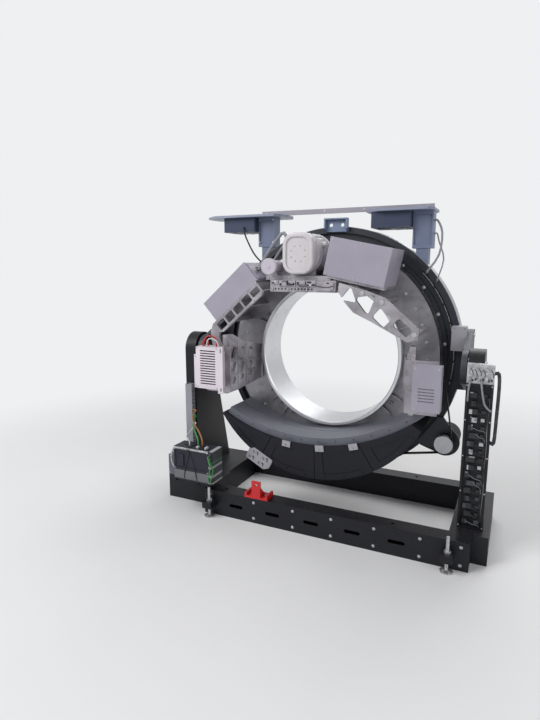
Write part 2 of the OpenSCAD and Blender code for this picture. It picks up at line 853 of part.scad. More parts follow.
// A slot outline that starts at the origin
module slot_from(l, w) {
    translate([l / 2, 0]) slot(l, w);
}

// Polished rim and the liner behind it, one turned piece
module bore_rim() {
    lip = rim_w - liner_t;
    back = race_back + 34;
    color([0.86, 0.87, 0.88]) translate([0, 0, iso_h]) turned_y() difference() {
        polygon([
            [bore_r, rim_front + 5], [bore_r + 5, rim_front], [bore_r + rim_w - 3, rim_front],
            [bore_r + rim_w, rim_front + 3], [bore_r + rim_w, disc_front],
            [bore_r + liner_t, disc_front], [bore_r + liner_t, back], [bore_r, back]
        ]);
        translate([bore_r + liner_t + lip, rim_front + 22]) circle(5);
    }
}

module bearing_inner() {
    color([0.64, 0.66, 0.68]) translate([0, 0, iso_h])
        ring_y(race_r - race_t, race_r, disc_back, race_back);
}

// Slip ring: insulating disc with contact tracks on its rear face
module slip_ring() {
    inner = bore_r + liner_t + 20;
    tracks = 6;
    pitch = (race_r - 12 - inner - 12) / tracks;
    y1 = race_back + 30;
    color([0.72, 0.55, 0.32]) translate([0, 0, iso_h]) turned_y() difference() {
        translate([inner, race_back]) square([race_r - 6 - inner, y1 - race_back]);
        for (i = [0 : tracks - 1])
            translate([inner + 14 + i * pitch, y1 - 6]) square([pitch - 10, 6 + over]);
    }
}

wall_front_x = 548;
wall_back_x = 462;
wall_up = 119;
wall_down = 244;
// Reach of the flange above the isocentre
flange_up = 50;
// Length and width of the oval holes, from the lowest row up
wall_holes = [[40, 26], [66, 26], [78, 38]];
wall_a = atan2(disc_front - cast_front, wall_front_x - wall_back_x);
wall_l = (disc_front - cast_front) / sin(wall_a);

// Cast side wall with rows of oval holes, from the disc to the front
module side_wall() {
    l = wall_l + 12;
    difference() {
        union() {
            translate([-wall_front_x - wall_t * sin(wall_a), cast_front + wall_t * cos(wall_a), iso_h])
                rotate([90, 0, wall_a]) linear_extrude(wall_t) difference() {
                    polygon([
                        [-12, -wall_down], [90, -wall_down + 8], [l, -184], [l, 24], [150, 70], [60, wall_up], [-12, wall_up]
                    ]);
                    for (row = [0 : 2], col = [0 : 2])
                        translate([66 + col * 74, -168 + row * 84 + col * (row == 0 ? 14 : -4)])
                            rotate(72) slot(wall_holes[row][0] - 6 * col, wall_holes[row][1]);
                }
            // flange that the unit in front of the wall is bolted to
            block([-flange_x, cast_front, iso_h - wall_down + 10],
                  [-wall_front_x + 24, cast_front + 14, iso_h + flange_up]);
            // foot along the disc
            block([-wall_back_x - 50, disc_front - 14, iso_h - 184],
                  [-wall_back_x + 8, disc_front, iso_h + 12]);
        }
        block([-disc_r, disc_front, iso_h - 2 * wall_down], [0, disc_front + 60, iso_h + 2 * wall_up]);
        block([-flange_x - over, cast_front - 60, iso_h - 2 * wall_down], [0, cast_front, iso_h + 2 * wall_up]);
        for (z = [-190, 10])
            translate([-wall_front_x - 60, 0, iso_h + z]) rod_y(5, cast_front - over, cast_front + 15);
    }
}

flange_x = 690;

module side_wall_left() { color([0.66, 0.65, 0.68]) side_wall(); }
module side_wall_right() { color([0.66, 0.65, 0.68]) mirror([1, 0, 0]) side_wall(); }

// Left edge of the arm's foot, and its right edge, which clears the side wall
arm_x = -642;
wall_clear = -wall_front_x - wall_t - 4;

ladder_windows = 5;
ladder_in = 478;
ladder_t0 = -34;
ladder_t1 = 352;
rail = 13;

// Point in the left tank's own frame
function on_tank(u, t, y) = [
    u * cos(tank_a) - t * sin(tank_a), y, iso_h + u * sin(tank_a) + t * cos(tank_a)
];

// X and Z of a point
function flat(p) = [p[0], p[2]];

// Front frame with a row of windows, a shelf behind it that carries the tank, and
// an arm down to the side wall
module ladder_casting() {
    shelf = 15;
    pitch = (ladder_t1 - ladder_t0 - rail) / ladder_windows;
    color([0.68, 0.67, 0.70]) spun(tank_a) {
        plate_y(cast_front, cast_front + cast_t) difference() {
            polygon([
                [ladder_in + 14, ladder_t0], [tank_seat, ladder_t0], [tank_seat, ladder_t1 + 8],
                [ladder_in + 20, ladder_t1 + 8], [ladder_in, ladder_t1 - 20], [ladder_in, ladder_t0 + 30]
            ]);
            for (i = [0 : ladder_windows - 1])
                translate([(ladder_in + rail + tank_seat - shelf) / 2, ladder_t0 + rail + (i + 0.5) * pitch - rail / 2])
                    rounded(tank_seat - shelf - ladder_in - rail - (i < 1 ? 16 : 4), pitch - rail, 7);
        }
        block([tank_seat - shelf, cast_front + cast_t, ladder_t0], [tank_seat, disc_front, ladder_t1 - 40]);
        // webs behind the rails between the windows
        for (i = [0 : 2 : 4])
            block([ladder_in + 20, cast_front + cast_t, ladder_t0 + i * pitch + 1],
                  [tank_seat - shelf, disc_front, ladder_t0 + i * pitch + rail - 1]);
    }
    // curved arm from its lower end to the flange of the side wall
    color([0.68, 0.67, 0.70]) plate_y(cast_front, cast_front + cast_t) polygon([
        flat(on_tank(tank_seat - 2, ladder_t1, 0)), flat(on_tank(tank_seat - 2, ladder_t1 + 7, 0)),
        [arm_x - 12, iso_h + 140], [arm_x - 10, iso_h + 95], [arm_x, iso_h + flange_up + seat],
        [wall_clear, iso_h + flange_up + seat], [wall_clear, iso_h + flange_up + 12], [wall_clear - 12, iso_h + 82],
        [wall_clear - 20, iso_h + 108], flat(on_tank(ladder_in + 22, ladder_t1, 0))
    ]);
}

rib_a = 180 - tank_a;

// Casting on the right with rounded triangular windows, on three pillars
module rib_casting() {
    color([0.66, 0.65, 0.68]) spun(rib_a) {
        plate_y(cast_front, cast_front + cast_t) difference() {
            polygon([
                [430, 176], [392, 150], [374, 82], [368, 10], [398, -90], [452, -300],
                [500, -330], [540, -300], [540, -60], [500, 40]
            ]);
            translate([414, 88]) rotate(-58) triangle(56, 12);
            translate([452, -4]) rotate(20) triangle(70, 14);
            translate([452, -118]) rounded(66, 84, 14);
            translate([488, -232]) rounded(52, 96, 14);
        }
        for (p = [[474, 44], [512, -64], [505, -300]])
            translate([p[0], 0, p[1]]) rod_y(16, cast_front + cast_t, disc_front);
    }
}

// A triangle with round corners, centred
module triangle(r, round_r) {
    inner = r - 2 * round_r;
    pts = [for (i = [0 : 2]) [inner * cos(90 + 120 * i), inner * sin(90 + 120 * i)]];
    for (p = pts) translate(p) circle(round_r);
    for (i = [0 : 2]) {
        a = pts[i];
        b = pts[(i + 1) % 3];
        n = [-(b - a)[1], (b - a)[0]] / norm(b - a);
        polygon([a + n * -round_r, b + n * -round_r, b, a]);
    }
    polygon(pts);
}

bench_x0 = -308;
bench_x1 = 84;
bench_z0 = 450;
bench_z1 = 474;

// Bench on the disc, with two saddles that the tube housing lies in
module tube_bench() {
    shelf = 15;
    color([0.64, 0.63, 0.66]) {
        translate([0, 0, iso_h]) difference() {
            union() {
                block([bench_x0, cast_front + 60, bench_z0], [bench_x1, disc_front, bench_z1]);
                for (y = [cast_front + 84, disc_front - 60])
                    block([tube_x - 78, y, bench_z1], [tube_x + 78, y + 26, tube_z - tube_r + 34]);
            }
            translate([tube_x, 0, tube_z]) rod_y(tube_r, cast_front, disc_front + over);
        }
        spun(box_a) block([box_seat - shelf, cast_front + 30, 38 - box_l], [box_seat, disc_front - seat_gap, 22]);
    }
}

// Tube housing: a drum with two raised bands, terminals and a bearing end
module tube_housing() {
    y0 = cast_front + cap_l;
    color([0.90, 0.88, 0.83]) translate([tube_x, 0, iso_h + tube_z]) {
        difference() {
            turned_y() polygon([
                [0, y0], [cap_w / 2 + 8, y0], [tube_r - 4, y0 + 14], [tube_r - 4, y0 + 30], [tube_r, y0 + 34],
                [tube_r, disc_front - 66], [tube_r - 4, disc_front - 62], [tube_r - 4, disc_front - 24],
                [tube_r - 26, disc_front - 4], [0, disc_front - 4]
            ]);
            for (a = [-35 : 35 : 35]) rotate([0, -90 - a, 0])
                translate([tube_r + 1, 0, 0]) rod_y(6, y0 + 60, disc_front - 100);
        }
        rotate([0, 28, 0]) translate([tube_r - 12, -70, 0]) rotate([0, 90, 0]) cylinder(h = 46, r = 26);
        rotate([0, 28, 0]) translate([tube_r - 12, -70, 0]) rotate([0, 90, 0]) cylinder(h = 34, r = 34);
        rotate([0, -24, 0]) translate([tube_r - 10, -150, 0]) rotate([0, 90, 0]) cylinder(h = 34, r = 15);
    }
}

// Cap outline, drawn in by a distance
module cap_outline(inset) {
    rounded(cap_w - 2 * inset, cap_h - 2 * inset, cap_round - inset);
}

module tube_cap() {
    y1 = cast_front + cap_l;
    screws = 8;
    floor_y = cast_front + 9;
    edge = [[10, 0], [4, 3], [0, 11]];
    color([0.88, 0.86, 0.82]) translate([tube_x, 0, iso_h + tube_z]) difference() {
        union() {
            plate_y(cast_front + edge[2][1], y1) cap_outline(0);
            for (i = [0, 1]) hull() {
                plate_y(cast_front + edge[i][1], cast_front + edge[i][1] + seat_gap) cap_outline(edge[i][0]);
                plate_y(cast_front + edge[i + 1][1], cast_front + edge[i + 1][1] + seat_gap)
                    cap_outline(edge[i + 1][0]);
            }
        }
        plate_y(cast_front - over, floor_y) cap_outline(cap_rim);
        for (i = [0 : screws - 1]) rotate([0, i * 360 / screws + 20, 0])
            translate([screw_circle, 0, 0]) rod_y(3, floor_y - over, floor_y + 4);
    }
}

screw_circle = 44;

pump_x = -262;
pump_z = 524;
pump_r = 38;

// Coolant pump to the left of the tube, with its neck and the pipe to the tube
module rotor_pump() {
    y0 = cast_front - 12;
    pipe_r = 11;
    drop = tube_z - pump_z - 26 - pipe_r;
    reach = tube_x - sqrt(pow(tube_r, 2) - pow(drop, 2)) - pump_x - turn_gap;
    color([0.90, 0.89, 0.86]) translate([pump_x, 0, iso_h]) {
        translate([0, 0, pump_z]) {
            turned_y() polygon([
                [0, y0], [10, y0], [10, y0 + 3], [pump_r + 4, y0 + 3], [pump_r + 9, y0 + 8],
                [pump_r + 9, y0 + 22], [pump_r, y0 + 26], [pump_r, y0 + 150], [pump_r - 8, y0 + 158], [0, y0 + 158]
            ]);
            translate([0, -150, 26]) rod_x(pipe_r, pump_r - 20, reach);
            translate([0, -150, 26]) rod_x(17, pump_r - 14, pump_r + 8);
        }
        block([-17, cast_front + 60, bench_z1], [17, cast_front + 110, pump_z]);
        block([-26, cast_front + 60, bench_z1], [26, cast_front + 120, bench_z1 + 10]);
    }
}

collimator_x0 = -254;
collimator_x1 = 134;
collimator_z0 = patient_r + 35;

// Collimator case under the bench, with rows of holes in its front
module collimator() {
    y0 = cast_front + 2;
    y1 = scan_y + 40;
    holes = 13;
    pitch = (collimator_x1 - collimator_x0 - 130) / holes;
    color([0.60, 0.58, 0.62]) translate([0, 0, iso_h]) {
        difference() {
            block([collimator_x0, y0, collimator_z0], [collimator_x1, y1, bench_z0]);
            for (i = [0 : holes - 1], r = [0 : 1])
                translate([collimator_x0 + 14 + (i + 0.5 * r) * pitch, 0, collimator_z0 + 16 + 30 * r])
                    rod_y(r == 0 ? 5 : 7, y0 - over, y0 + 14);
            block([collimator_x0 - over, y0 - over, collimator_z0 + 54], [collimator_x0 + 120, y0 + 10, bench_z0 - 4]);
            // slit that the fan of rays leaves by
            block([collimator_x0 + 60, scan_y - 14, collimator_z0 - over],
                  [collimator_x1 - 60, scan_y + 14, collimator_z0 + 12]);
        }
        block([collimator_x1 - 106, y0 - 9, collimator_z0 + 10], [collimator_x1 - 10, y0, bench_z0 - 10]);
        for (i = [0 : 3])
            translate([collimator_x0 + 22 + i * 62, y0, bench_z0 - 22]) bolt_head(7, 6);
    }
}

// Left high-voltage tank: a painted box with a lid, an end plate and sockets
module tank_left() {
    t0 = -55;
    lid = 5;
    y0 = cast_front;
    y1 = disc_front - 5;
    t1 = t0 + tank_l;
    color([0.60, 0.59, 0.63]) spun(tank_a) difference() {
        union() {
            block([tank_seat, y0 + lid, t0 + 8], [tank_seat + tank_t - 3, y1, t1 - 3]);
            block([tank_seat, y0, t0 + 8], [tank_seat + tank_t, y0 + lid, t1]);
            block([tank_seat + 6, y0 + 14, t0], [tank_seat + tank_t - 12, y1 - 10, t0 + 8]);
        }
        for (u = [12, tank_t - 12], t = [t0 + 22, (t0 + t1) / 2, t1 - 14])
            translate([tank_seat + u, 0, t]) rod_y(3.5, y0 - over, y0 + 3);
        for (y = [y0 + 90, y1 - 80])
            translate([tank_seat + tank_t / 2, y, t0 - over]) cylinder(h = 6, r = 24);
    }
}

module tank_right() {
    t1 = 38;
    t0 = t1 - box_l;
    lid = 5;
    y0 = cast_front + 6;
    y1 = disc_front - 5;
    color([0.60, 0.59, 0.63]) spun(box_a) difference() {
        union() {
            block([box_seat, y0 + lid, t0 + 3], [box_seat + box_t - 3, y1, t1 - 3]);
            block([box_seat, y0, t0], [box_seat + box_t, y0 + lid, t1]);
        }
        for (u = [12, box_t - 12], t = [t0 + 14, (t0 + t1) / 2, t1 - 14])
            translate([box_seat + u, 0, t]) rod_y(3.5, y0 - over, y0 + 3);
    }
}

grille_x1 = -563;
grille_z0 = -205;
grille_wall = 3;
step_w = 18;
step_drop = 50;

// Grille box of the heat exchanger: an open-backed case with a slotted front
module heat_exchanger() {
    x0 = grille_x1 - grille_w;
    y0 = cast_front - grille_d;
    pitch = (grille_h - 40) / grille_slots;
    color([0.90, 0.88, 0.88]) translate([0, 0, iso_h]) {
        difference() {
            block([x0, y0, grille_z0], [grille_x1, cast_front, grille_z0 + grille_h]);
            block([x0 + grille_wall, y0 + grille_wall, grille_z0 + grille_wall],
                  [grille_x1 - grille_wall, cast_front + over, grille_z0 + grille_h - grille_wall]);
            for (i = [0 : grille_slots - 1])
                translate([(x0 + grille_x1) / 2 + 6, 0, grille_z0 + 24 + (i + 0.5) * pitch])
                    plate_y(y0 - over, y0 + grille_wall + over) slot(grille_w - 44, slot_h);
        }
        // lower side chamber at the left
        block([x0 - step_w, y0 + 6, grille_z0], [x0, cast_front, grille_z0 + grille_h - step_drop]);
        // mounting strip at the right with a slot at its top and foot
        difference() {
            block([grille_x1, y0, grille_z0 - 22], [grille_x1 + 34, y0 + 4, grille_z0 + grille_h + 6]);
            for (z = [grille_z0, grille_z0 + grille_h - 18])
                translate([grille_x1 + 20, 0, z]) plate_y(y0 - over, y0 + 5) rotate(90) slot(28, 12);
        }
        block([grille_x1, y0 + 4, grille_z0], [grille_x1 + 4, cast_front, grille_z0 + grille_h - 30]);
    }
}

// Finned core behind the grille
module exchanger_core() {
    gap = 1.5;
    x0 = grille_x1 - grille_w + grille_wall + gap;
    x1 = grille_x1 - grille_wall - gap;
    y0 = cast_front - grille_d + 16;
    z0 = grille_z0 + grille_wall + 6;
    h = grille_h - 2 * grille_wall - 12;
    fins = 15;
    pitch = (x1 - x0) / fins;
    color([0.30, 0.31, 0.33]) translate([0, 0, iso_h]) difference() {
        block([x0, y0, z0], [x1, cast_front, z0 + h]);
        for (i = [0 : fins - 1])
            block([x0 + (i + 0.25) * pitch, y0 - over, z0 + 8], [x0 + (i + 0.75) * pitch, y0 + 16, z0 + h - 8]);
    }
}

// Inverter on the right wall, opposite the heat exchanger
module inverter_box() {
    x0 = 572;
    x1 = 712;
    color([0.58, 0.58, 0.61]) translate([0, 0, iso_h]) difference() {
        block([x0, cast_front - 70, grille_z0 + 5], [x1, cast_front, grille_z0 + 240]);
        for (x = [x0 + 12, x1 - 12], z = [grille_z0 + 17, grille_z0 + 228])
            translate([x, 0, z]) rod_y(4, cast_front - 71, cast_front - 66);
        for (i = [0 : 4])
            translate([(x0 + x1) / 2, 0, grille_z0 + 60 + i * 16])
                plate_y(cast_front - 71, cast_front - 64) slot(80, 6);
    }
}

detector_front = -222;
cover_front = -250;

// A sector of angles about the origin, wide enough for the rotor
module sector(a0, a1) {
    r = 2 * disc_r;
    mid = (a0 + a1) / 2;
    polygon([[0, 0], r * [cos(a0), sin(a0)], r * [cos(mid), sin(mid)] * 1.4, r * [cos(a1), sin(a1)]]);
}

// Detector: a curved trough about the focal spot with a seam and end blocks
module detector() {
    seam_y = detector_front + 150;
    color([0.33, 0.34, 0.36]) translate([focus_x, 0, iso_h + focus_z]) difference() {
        plate_y(detector_front, disc_front) intersection() {
            difference() {
                circle(detector_r + detector_t, $fn = 360);
                circle(detector_r, $fn = 360);
            }
            sector(axis_a - detector_half, axis_a + detector_half);
        }
        plate_y(seam_y, seam_y + 5) circle(detector_r + 6, $fn = 360);
        for (a = [-detector_half + 4 : 6 : detector_half - 4]) rotate([0, -axis_a - a, 0])
            translate([detector_r + 20, 0, 0]) rod_y(4, detector_front - over, detector_front + 8);
    }
}

cover_first = -148;
cover_pitch = 30;

// Electronics covers: a row of boxes between the detector and the outer radius
module detector_covers() {
    color([0.08, 0.08, 0.09]) translate([0, 0, iso_h]) for (i = [0 : 3]) {
        a0 = cover_first + i * cover_pitch;
        edge = asin(cover_gap / 2 / cover_r);
        mid = a0 + cover_pitch / 2;
        difference() {
            plate_y(cover_front, disc_front) difference() {
                intersection() {
                    circle(cover_r, $fn = 360);
                    sector(mid - cover_step / 2 + edge, mid + cover_step / 2 - edge);
                }
                translate([focus_x, focus_z]) circle(detector_r + detector_t, $fn = 360);
            }
            for (a = [mid - 10, mid, mid + 10]) rotate([0, -a, 0])
                translate([cover_r - 16, 0, 0]) rod_y(5, cover_front - over, cover_front + 6);
            plate_y(cover_front - over, cover_front + 5) intersection() {
                difference() {
                    circle(cover_r - 34, $fn = 360);
                    translate([focus_x, focus_z]) circle(detector_r + detector_t + 34, $fn = 360);
                }
                sector(mid - 10, mid + 10);
            }
        }
    }
}

balance_a = -118;
balance_r = 712;
balance_l = 165;
balance_w = 88;
balance_cut = 26;
balance_bolts = [[-21, -34], [21, -46], [-21, 38], [21, 26]];

// Brackets on the covers and the slotted balance plate
module rotor_fittings() {
    t = 11;
    w = balance_w / 2;
    l = balance_l / 2;
    color([0.62, 0.63, 0.65]) {
        spun(balance_a) difference() {
            union() {
                plate_y(cover_front - t, cover_front) translate([balance_r, 0]) polygon([
                    [-w, balance_cut - l], [balance_cut - w, -l], [w - 8, -l], [w, 8 - l],
                    [w, l - balance_cut], [w - balance_cut, l], [8 - w, l], [-w, l - 8]
                ]);
            }
            for (p = balance_bolts)
                translate([balance_r + p[0], 0, p[1]]) plate_y(cover_front - t - over, cover_front - 3)
                    rotate(90) slot(42, 22);
        }
        spun(balance_a) for (p = balance_bolts)
            translate([balance_r + p[0], cover_front - 3 + seat_gap, p[1] + 6]) rotate([90, 0, 0])
                cylinder(h = 16, r = 8);
        for (a = [-118.5, -98, -78])
            translate([focus_x, 0, iso_h + focus_z]) rotate([0, -axis_a - (a + 98) * 0.55, 0])
                translate([detector_r + detector_t + 14, 0, 0]) difference() {
                    block([-24, cover_front - 10, -26], [12, cover_front, 26]);
                    rod_y(5, cover_front - 11, cover_front - 4);
                }
    }
}

// Cables. Each is a radius and the points of its route, and it starts and ends
// square to the face that it comes out of.

seat = 0.3;
cable_sides = 8;

function unit(v) = v / norm(v);

// A point on the smooth curve through p1 and p2, between its neighbours
function curve_at(p0, p1, p2, p3, t) = 0.5 * (
    2 * p1 + (p2 - p0) * t + (2 * p0 - 5 * p1 + 4 * p2 - p3) * t * t
    + (3 * p1 - p0 - 3 * p2 + p3) * t * t * t
);

// The route with a point added before its start and after its end
function lengthened(p) = concat(
    [2 * p[0] - p[1]], p, [2 * p[len(p) - 1] - p[len(p) - 2]]
);

function smooth_route(p, n) = let (q = lengthened(p)) [
    for (i = [1 : len(q) - 3]) for (k = [0 : n - 1])
        curve_at(q[i - 1], q[i], q[i + 1], q[i + 2], k / n),
    p[len(p) - 1]
];

// A tube swept along a smooth route, with each end square to the route's first
// or last stretch
module cable(r, route, n = 3) {
    path = smooth_route(route, n);
    last = len(path) - 1;
    sides = cable_sides;
    points = [
        for (i = [0 : last])
            let (
                t = unit(
                    i == 0 ? route[1] - route[0]
                    : i == last ? route[len(route) - 1] - route[len(route) - 2]
                    : path[i + 1] - path[i - 1]
                ),
                a = unit(cross(t, [0.31, 0.87, 0.39])),
                b = cross(t, a)
            )
            for (k = [0 : sides - 1])
                path[i] + r * (cos(k * 360 / sides) * a + sin(k * 360 / sides) * b)
    ];
    walls = [
        for (i = [0 : last - 1], k = [0 : sides - 1])
            let (near = i * sides, far = near + sides, next = (k + 1) % sides)
            for (f = [[near + k, far + k, far + next], [near + k, far + next, near + next]]) f
    ];
    ends = [[for (k = [0 : sides - 1]) k], [for (k = [0 : sides - 1]) last * sides + sides - 1 - k]];
    polyhedron(points = points, faces = concat(walls, ends), convexity = 4);
}

servo_top = servo_z1 + seat;
servo_face = servo_y0 - 2 - seat;
duct_side = -column_x - 12 + seat;
box_face = panel_front + 6 - seat;

// Leads between the drive, its connectors, the junction box and the duct, and
// the loops and the hose on the right column
base_routes = [
    [5, [[-650, -400, servo_top], [-650, -400, servo_z1 + 40], [-690, -370, 500], [-770, -310, 535],
         [-812, -252, 566], [-804, -228, 590], [duct_side, -228, 590]]],
    [5, [[-680, -400, servo_top], [-680, -400, servo_z1 + 36], [-715, -366, 480], [-780, -300, 505],
         [-806, -250, 536], [-806, -228, 555], [duct_side, -228, 555]]],
    [4, [[-730, -420, servo_top], [-730, -420, servo_z1 + 30], [-765, -400, 470], [-800, -330, 460],
         [-806, -262, 484], [-808, -228, 505], [duct_side, -228, 505]]],
    [3.5, [[-558, servo_face, 395], [-558, servo_face - 20, 395], [-540, servo_face - 28, 350],
           [-545, servo_face - 26, 300], [-558, servo_face - 18, 262], [-558, servo_face, 262]]],
    [3.5, [[-552, servo_face, 370], [-552, servo_face - 14, 370], [-528, servo_face - 14, 330],
           [-534, servo_face - 16, 280], [-552, servo_face - 12, 232], [-552, servo_face, 232]]],
    [5, [[servo_x0 - seat, -420, 400], [servo_x0 - 22, -420, 400], [-862, -424, 360], [-866, -420, 300],
         [servo_x0 - 20, -414, 252], [servo_x0 - seat, -414, 252]]],
    [4, [[servo_x0 - seat, -385, 380], [servo_x0 - 20, -385, 380], [-850, -388, 330], [-853, -384, 290],
         [servo_x0 - 18, -380, 258], [servo_x0 - seat, -380, 258]]],
    [6, [[junction[1][0] + seat, -262, 230], [junction[1][0] + 16, -262, 230], [-848, -300, 214],
         [-842, -350, 226], [servo_x0 - 16, -366, 240], [servo_x0 - seat, -366, 240]]],
    [5, [[838, box_face, panel_top + 14], [838, box_face - 16, panel_top + 14],
         [834, box_face - 30, panel_top - 30], [832, panel_front - 16, panel_top - 84],
         [832, panel_front - seat, panel_top - 84]]],
    [5, [[890, box_face, panel_top + 15], [890, box_face - 18, panel_top + 15],
         [900, box_face - 36, panel_top - 40], [915, panel_front - 24, panel_top - 100],
         [941, panel_front - 16, panel_top - 128], [941, panel_front - seat, panel_top - 128]]],
    [9, [[column_x + panel_w + seat, -225, panel_top + 55], [column_x + panel_w + 18, -225, panel_top + 55],
         [column_x + panel_w + 24, -228, panel_top - 10], [column_x + panel_w + 22, -230, panel_top - 170],
         [column_x + panel_w + 18, -228, panel_top - 296], [column_x + panel_w + seat, -228, panel_top - 296]]]
];

// Leads of the two top fans, down to the ring
fan_lead_y = fan_y - fan_side / 2 - seat;
fan_lead_x = post_right_x + post_w + seat;
ring_face = ring_front - seat;
frame_routes = [
    [5, [[fan_left_x + 40, fan_lead_y, iso_h + 770], [fan_left_x + 40, fan_y - fan_side / 2 - 14, iso_h + 770],
         [-590, 74, iso_h + 710], [-540, 84, iso_h + 610],
         [-497, ring_front - 24, iso_h + 556], [-497, ring_face, iso_h + 556]]],
    [6, [[fan_lead_x, 170, iso_h + 780], [post_right_x + post_w + 18, 170, iso_h + 780],
         [612, 150, iso_h + 710], [606, 112, iso_h + 590],
         [548, ring_front - 28, iso_h + 496], [548, ring_face, iso_h + 496]]],
    [4, [[fan_lead_x, 200, iso_h + 710], [post_right_x + post_w + 14, 200, iso_h + 710],
         [594, 186, iso_h + 660], [630, 132, iso_h + 565],
         [604, ring_front - 24, iso_h + 450], [604, ring_face, iso_h + 450]]],
    [4, [[430, ring_face, iso_h + 608], [430, ring_front - 14, iso_h + 608],
         [476, ring_front - 20, iso_h + 572],
         [520, ring_front - 14, iso_h + 532], [520, ring_face, iso_h + 532]]]
];

socket_u = tank_seat + tank_t / 2;
wall_top = iso_h + grille_z0 + grille_h + seat;

// Point at a distance from the tube's axis, in a direction
function round_tube(a, r, y) = [tube_x + r * cos(a), y, iso_h + tube_z + r * sin(a)];

// High-voltage leads from the left tank to the tube, and leads above the exchanger
rotor_routes = [
    for (y = [cast_front + 90, disc_front - 85]) [10, [
        on_tank(socket_u, -50 - seat, y), on_tank(socket_u, -78, y), on_tank(socket_u + 22, -125, y),
        round_tube(140, tube_r + 62, y), round_tube(138, tube_r + 22, y), round_tube(138, tube_r + seat, y)
    ]],
    [5, [[-680, -310, wall_top], [-680, -310, wall_top + 26], [-655, -304, wall_top + 62],
         [-612, -290, wall_top + 50], [-600, -296, wall_top + 14], [-600, -296, wall_top]]],
    [4, [[-650, -325, wall_top], [-650, -325, wall_top + 20], [-635, -322, wall_top + 48],
         [-596, -312, wall_top + 40], [-580, -310, wall_top + 12], [-580, -310, wall_top]]],
    [4, [[-696, -300, wall_top], [-696, -300, wall_top + 14], [-686, -296, wall_top + 36],
         [-660, -292, wall_top + 24], [-660, -292, wall_top]]]
];

module base_cables() {
    color([0.55, 0.40, 0.25]) for (c = base_routes) cable(c[0], c[1]);
}

module frame_cables() {
    color([0.10, 0.10, 0.10]) for (c = frame_routes) cable(c[0], c[1]);
}

module rotor_cables() {
    color([0.80, 0.80, 0.80]) for (c = rotor_routes) cable(c[0], c[1]);
}

front_beam();
rear_beam();
plinth_left();
plinth_right();
column_left();
column_right();
levelling_feet();
transport_lock();
servo_stand();
servo_drive();
servo_heat_sink();
servo_connectors();
junction_box();
cable_duct();
terminal_panel();
terminals();
terminal_box();
frame_ring();
ring_rim_band();
bearing_outer();
arm_left();
arm_right();
trunnions();
motor_bracket();
drive_motor();
motor_pulley();
drive_belt();
fan_posts();
fan_tray_left();
fan_tray_right();
fan_cases();
impeller_left();
impeller_right();
top_bar();
ring_bracket();
ring_box();
rotor_disc();
bore_rim();
bearing_inner();
slip_ring();
side_wall_left();
side_wall_right();
ladder_casting();
rib_casting();
tube_bench();
tube_housing();
tube_cap();
rotor_pump();
collimator();
tank_left();
tank_right();
heat_exchanger();
exchanger_core();
inverter_box();
detector();
detector_covers();
rotor_fittings();
base_cables();
frame_cables();
rotor_cables();
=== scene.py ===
"""Looks of the gantry of a medical CT scanner that stands with its covers off.

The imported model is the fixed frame. Each class here is one sub-assembly of the
gantry: it names the finish of every solid of its own and adds the small trim
that the solids leave out. Lengths are in metres unless a name ends in _mm.
"""

import logging
import math
from dataclasses import dataclass, field
from enum import Enum
from itertools import product
from typing import Callable, Optional, Sequence, Union

import bpy
from mathutils import Matrix, Vector


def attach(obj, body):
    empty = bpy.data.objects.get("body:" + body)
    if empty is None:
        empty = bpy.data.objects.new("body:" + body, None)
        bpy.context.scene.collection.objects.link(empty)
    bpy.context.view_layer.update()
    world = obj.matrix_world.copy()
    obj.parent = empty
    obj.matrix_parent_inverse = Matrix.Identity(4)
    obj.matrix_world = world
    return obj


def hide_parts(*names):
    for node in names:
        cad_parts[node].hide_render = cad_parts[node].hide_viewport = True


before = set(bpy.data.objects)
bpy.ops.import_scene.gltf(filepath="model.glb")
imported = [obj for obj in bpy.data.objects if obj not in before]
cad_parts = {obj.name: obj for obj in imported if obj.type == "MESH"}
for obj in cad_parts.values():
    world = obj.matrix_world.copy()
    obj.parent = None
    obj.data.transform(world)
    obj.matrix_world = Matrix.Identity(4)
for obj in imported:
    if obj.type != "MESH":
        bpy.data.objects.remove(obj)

log = logging.getLogger("gantry")

Pair = tuple[float, float]
Point = tuple[float, float, float]
Colour = Point
Face = tuple[int, ...]
Value = Union["Expr", float, int, Colour, str, bool]

ISO_H = 0.980
MM = 0.001
AXIS: Pair = (0.0, ISO_H)
BRIGHTEST = 250.0
FRONT: Point = (0.0, -1.0, 0.0)
BACK: Point = (0.0, 1.0, 0.0)
UP: Point = (0.0, 0.0, 1.0)
DOWN: Point = (0.0, 0.0, -1.0)


def linear(tone: Colour) -> Colour:
    """Turns a display colour into the linear colour that a shader takes.

    Args:
        tone: red, green and blue from 0 to 255, as they look on a display.

    Returns:
        The same colour as linear red, green and blue from 0 to 1.
    """
    shares = [c / 255 for c in tone]
    return tuple(c / 12.92 if c <= 0.04045 else ((c + 0.055) / 1.055) ** 2.4 for c in shares)


def scaled(tone: Colour, factor: float) -> Colour:
    """Makes a display colour lighter or darker by a factor."""
    return tuple(min(c * factor, BRIGHTEST) for c in tone)


def around_y(radius: float, angle: float, y: float, centre: Pair = AXIS) -> Point:
    """Gives a point on a circle about an axis that runs along Y.

    Args:
        radius: distance from the axis.
        angle: degrees from +X towards +Z.
        y: place along the axis.
        centre: X and Z of the axis.

    Returns:
        The point.
    """
    a = math.radians(angle)
    return (centre[0] + radius * math.cos(a), y, centre[1] + radius * math.sin(a))


def on_rotor(angle: float, u: float, t: float, y: float) -> Point:
    """Gives a point in a frame whose first axis leaves the isocentre at an angle.

    Args:
        angle: direction of the first axis, in degrees from +X towards +Z.
        u: distance along it.
        t: distance across it, counter-clockwise.
        y: place along the rotor's axis.

    Returns:
        The point in the gantry's frame.
    """
    a = math.radians(angle)
    return (u * math.cos(a) - t * math.sin(a), y, ISO_H + u * math.sin(a) + t * math.cos(a))


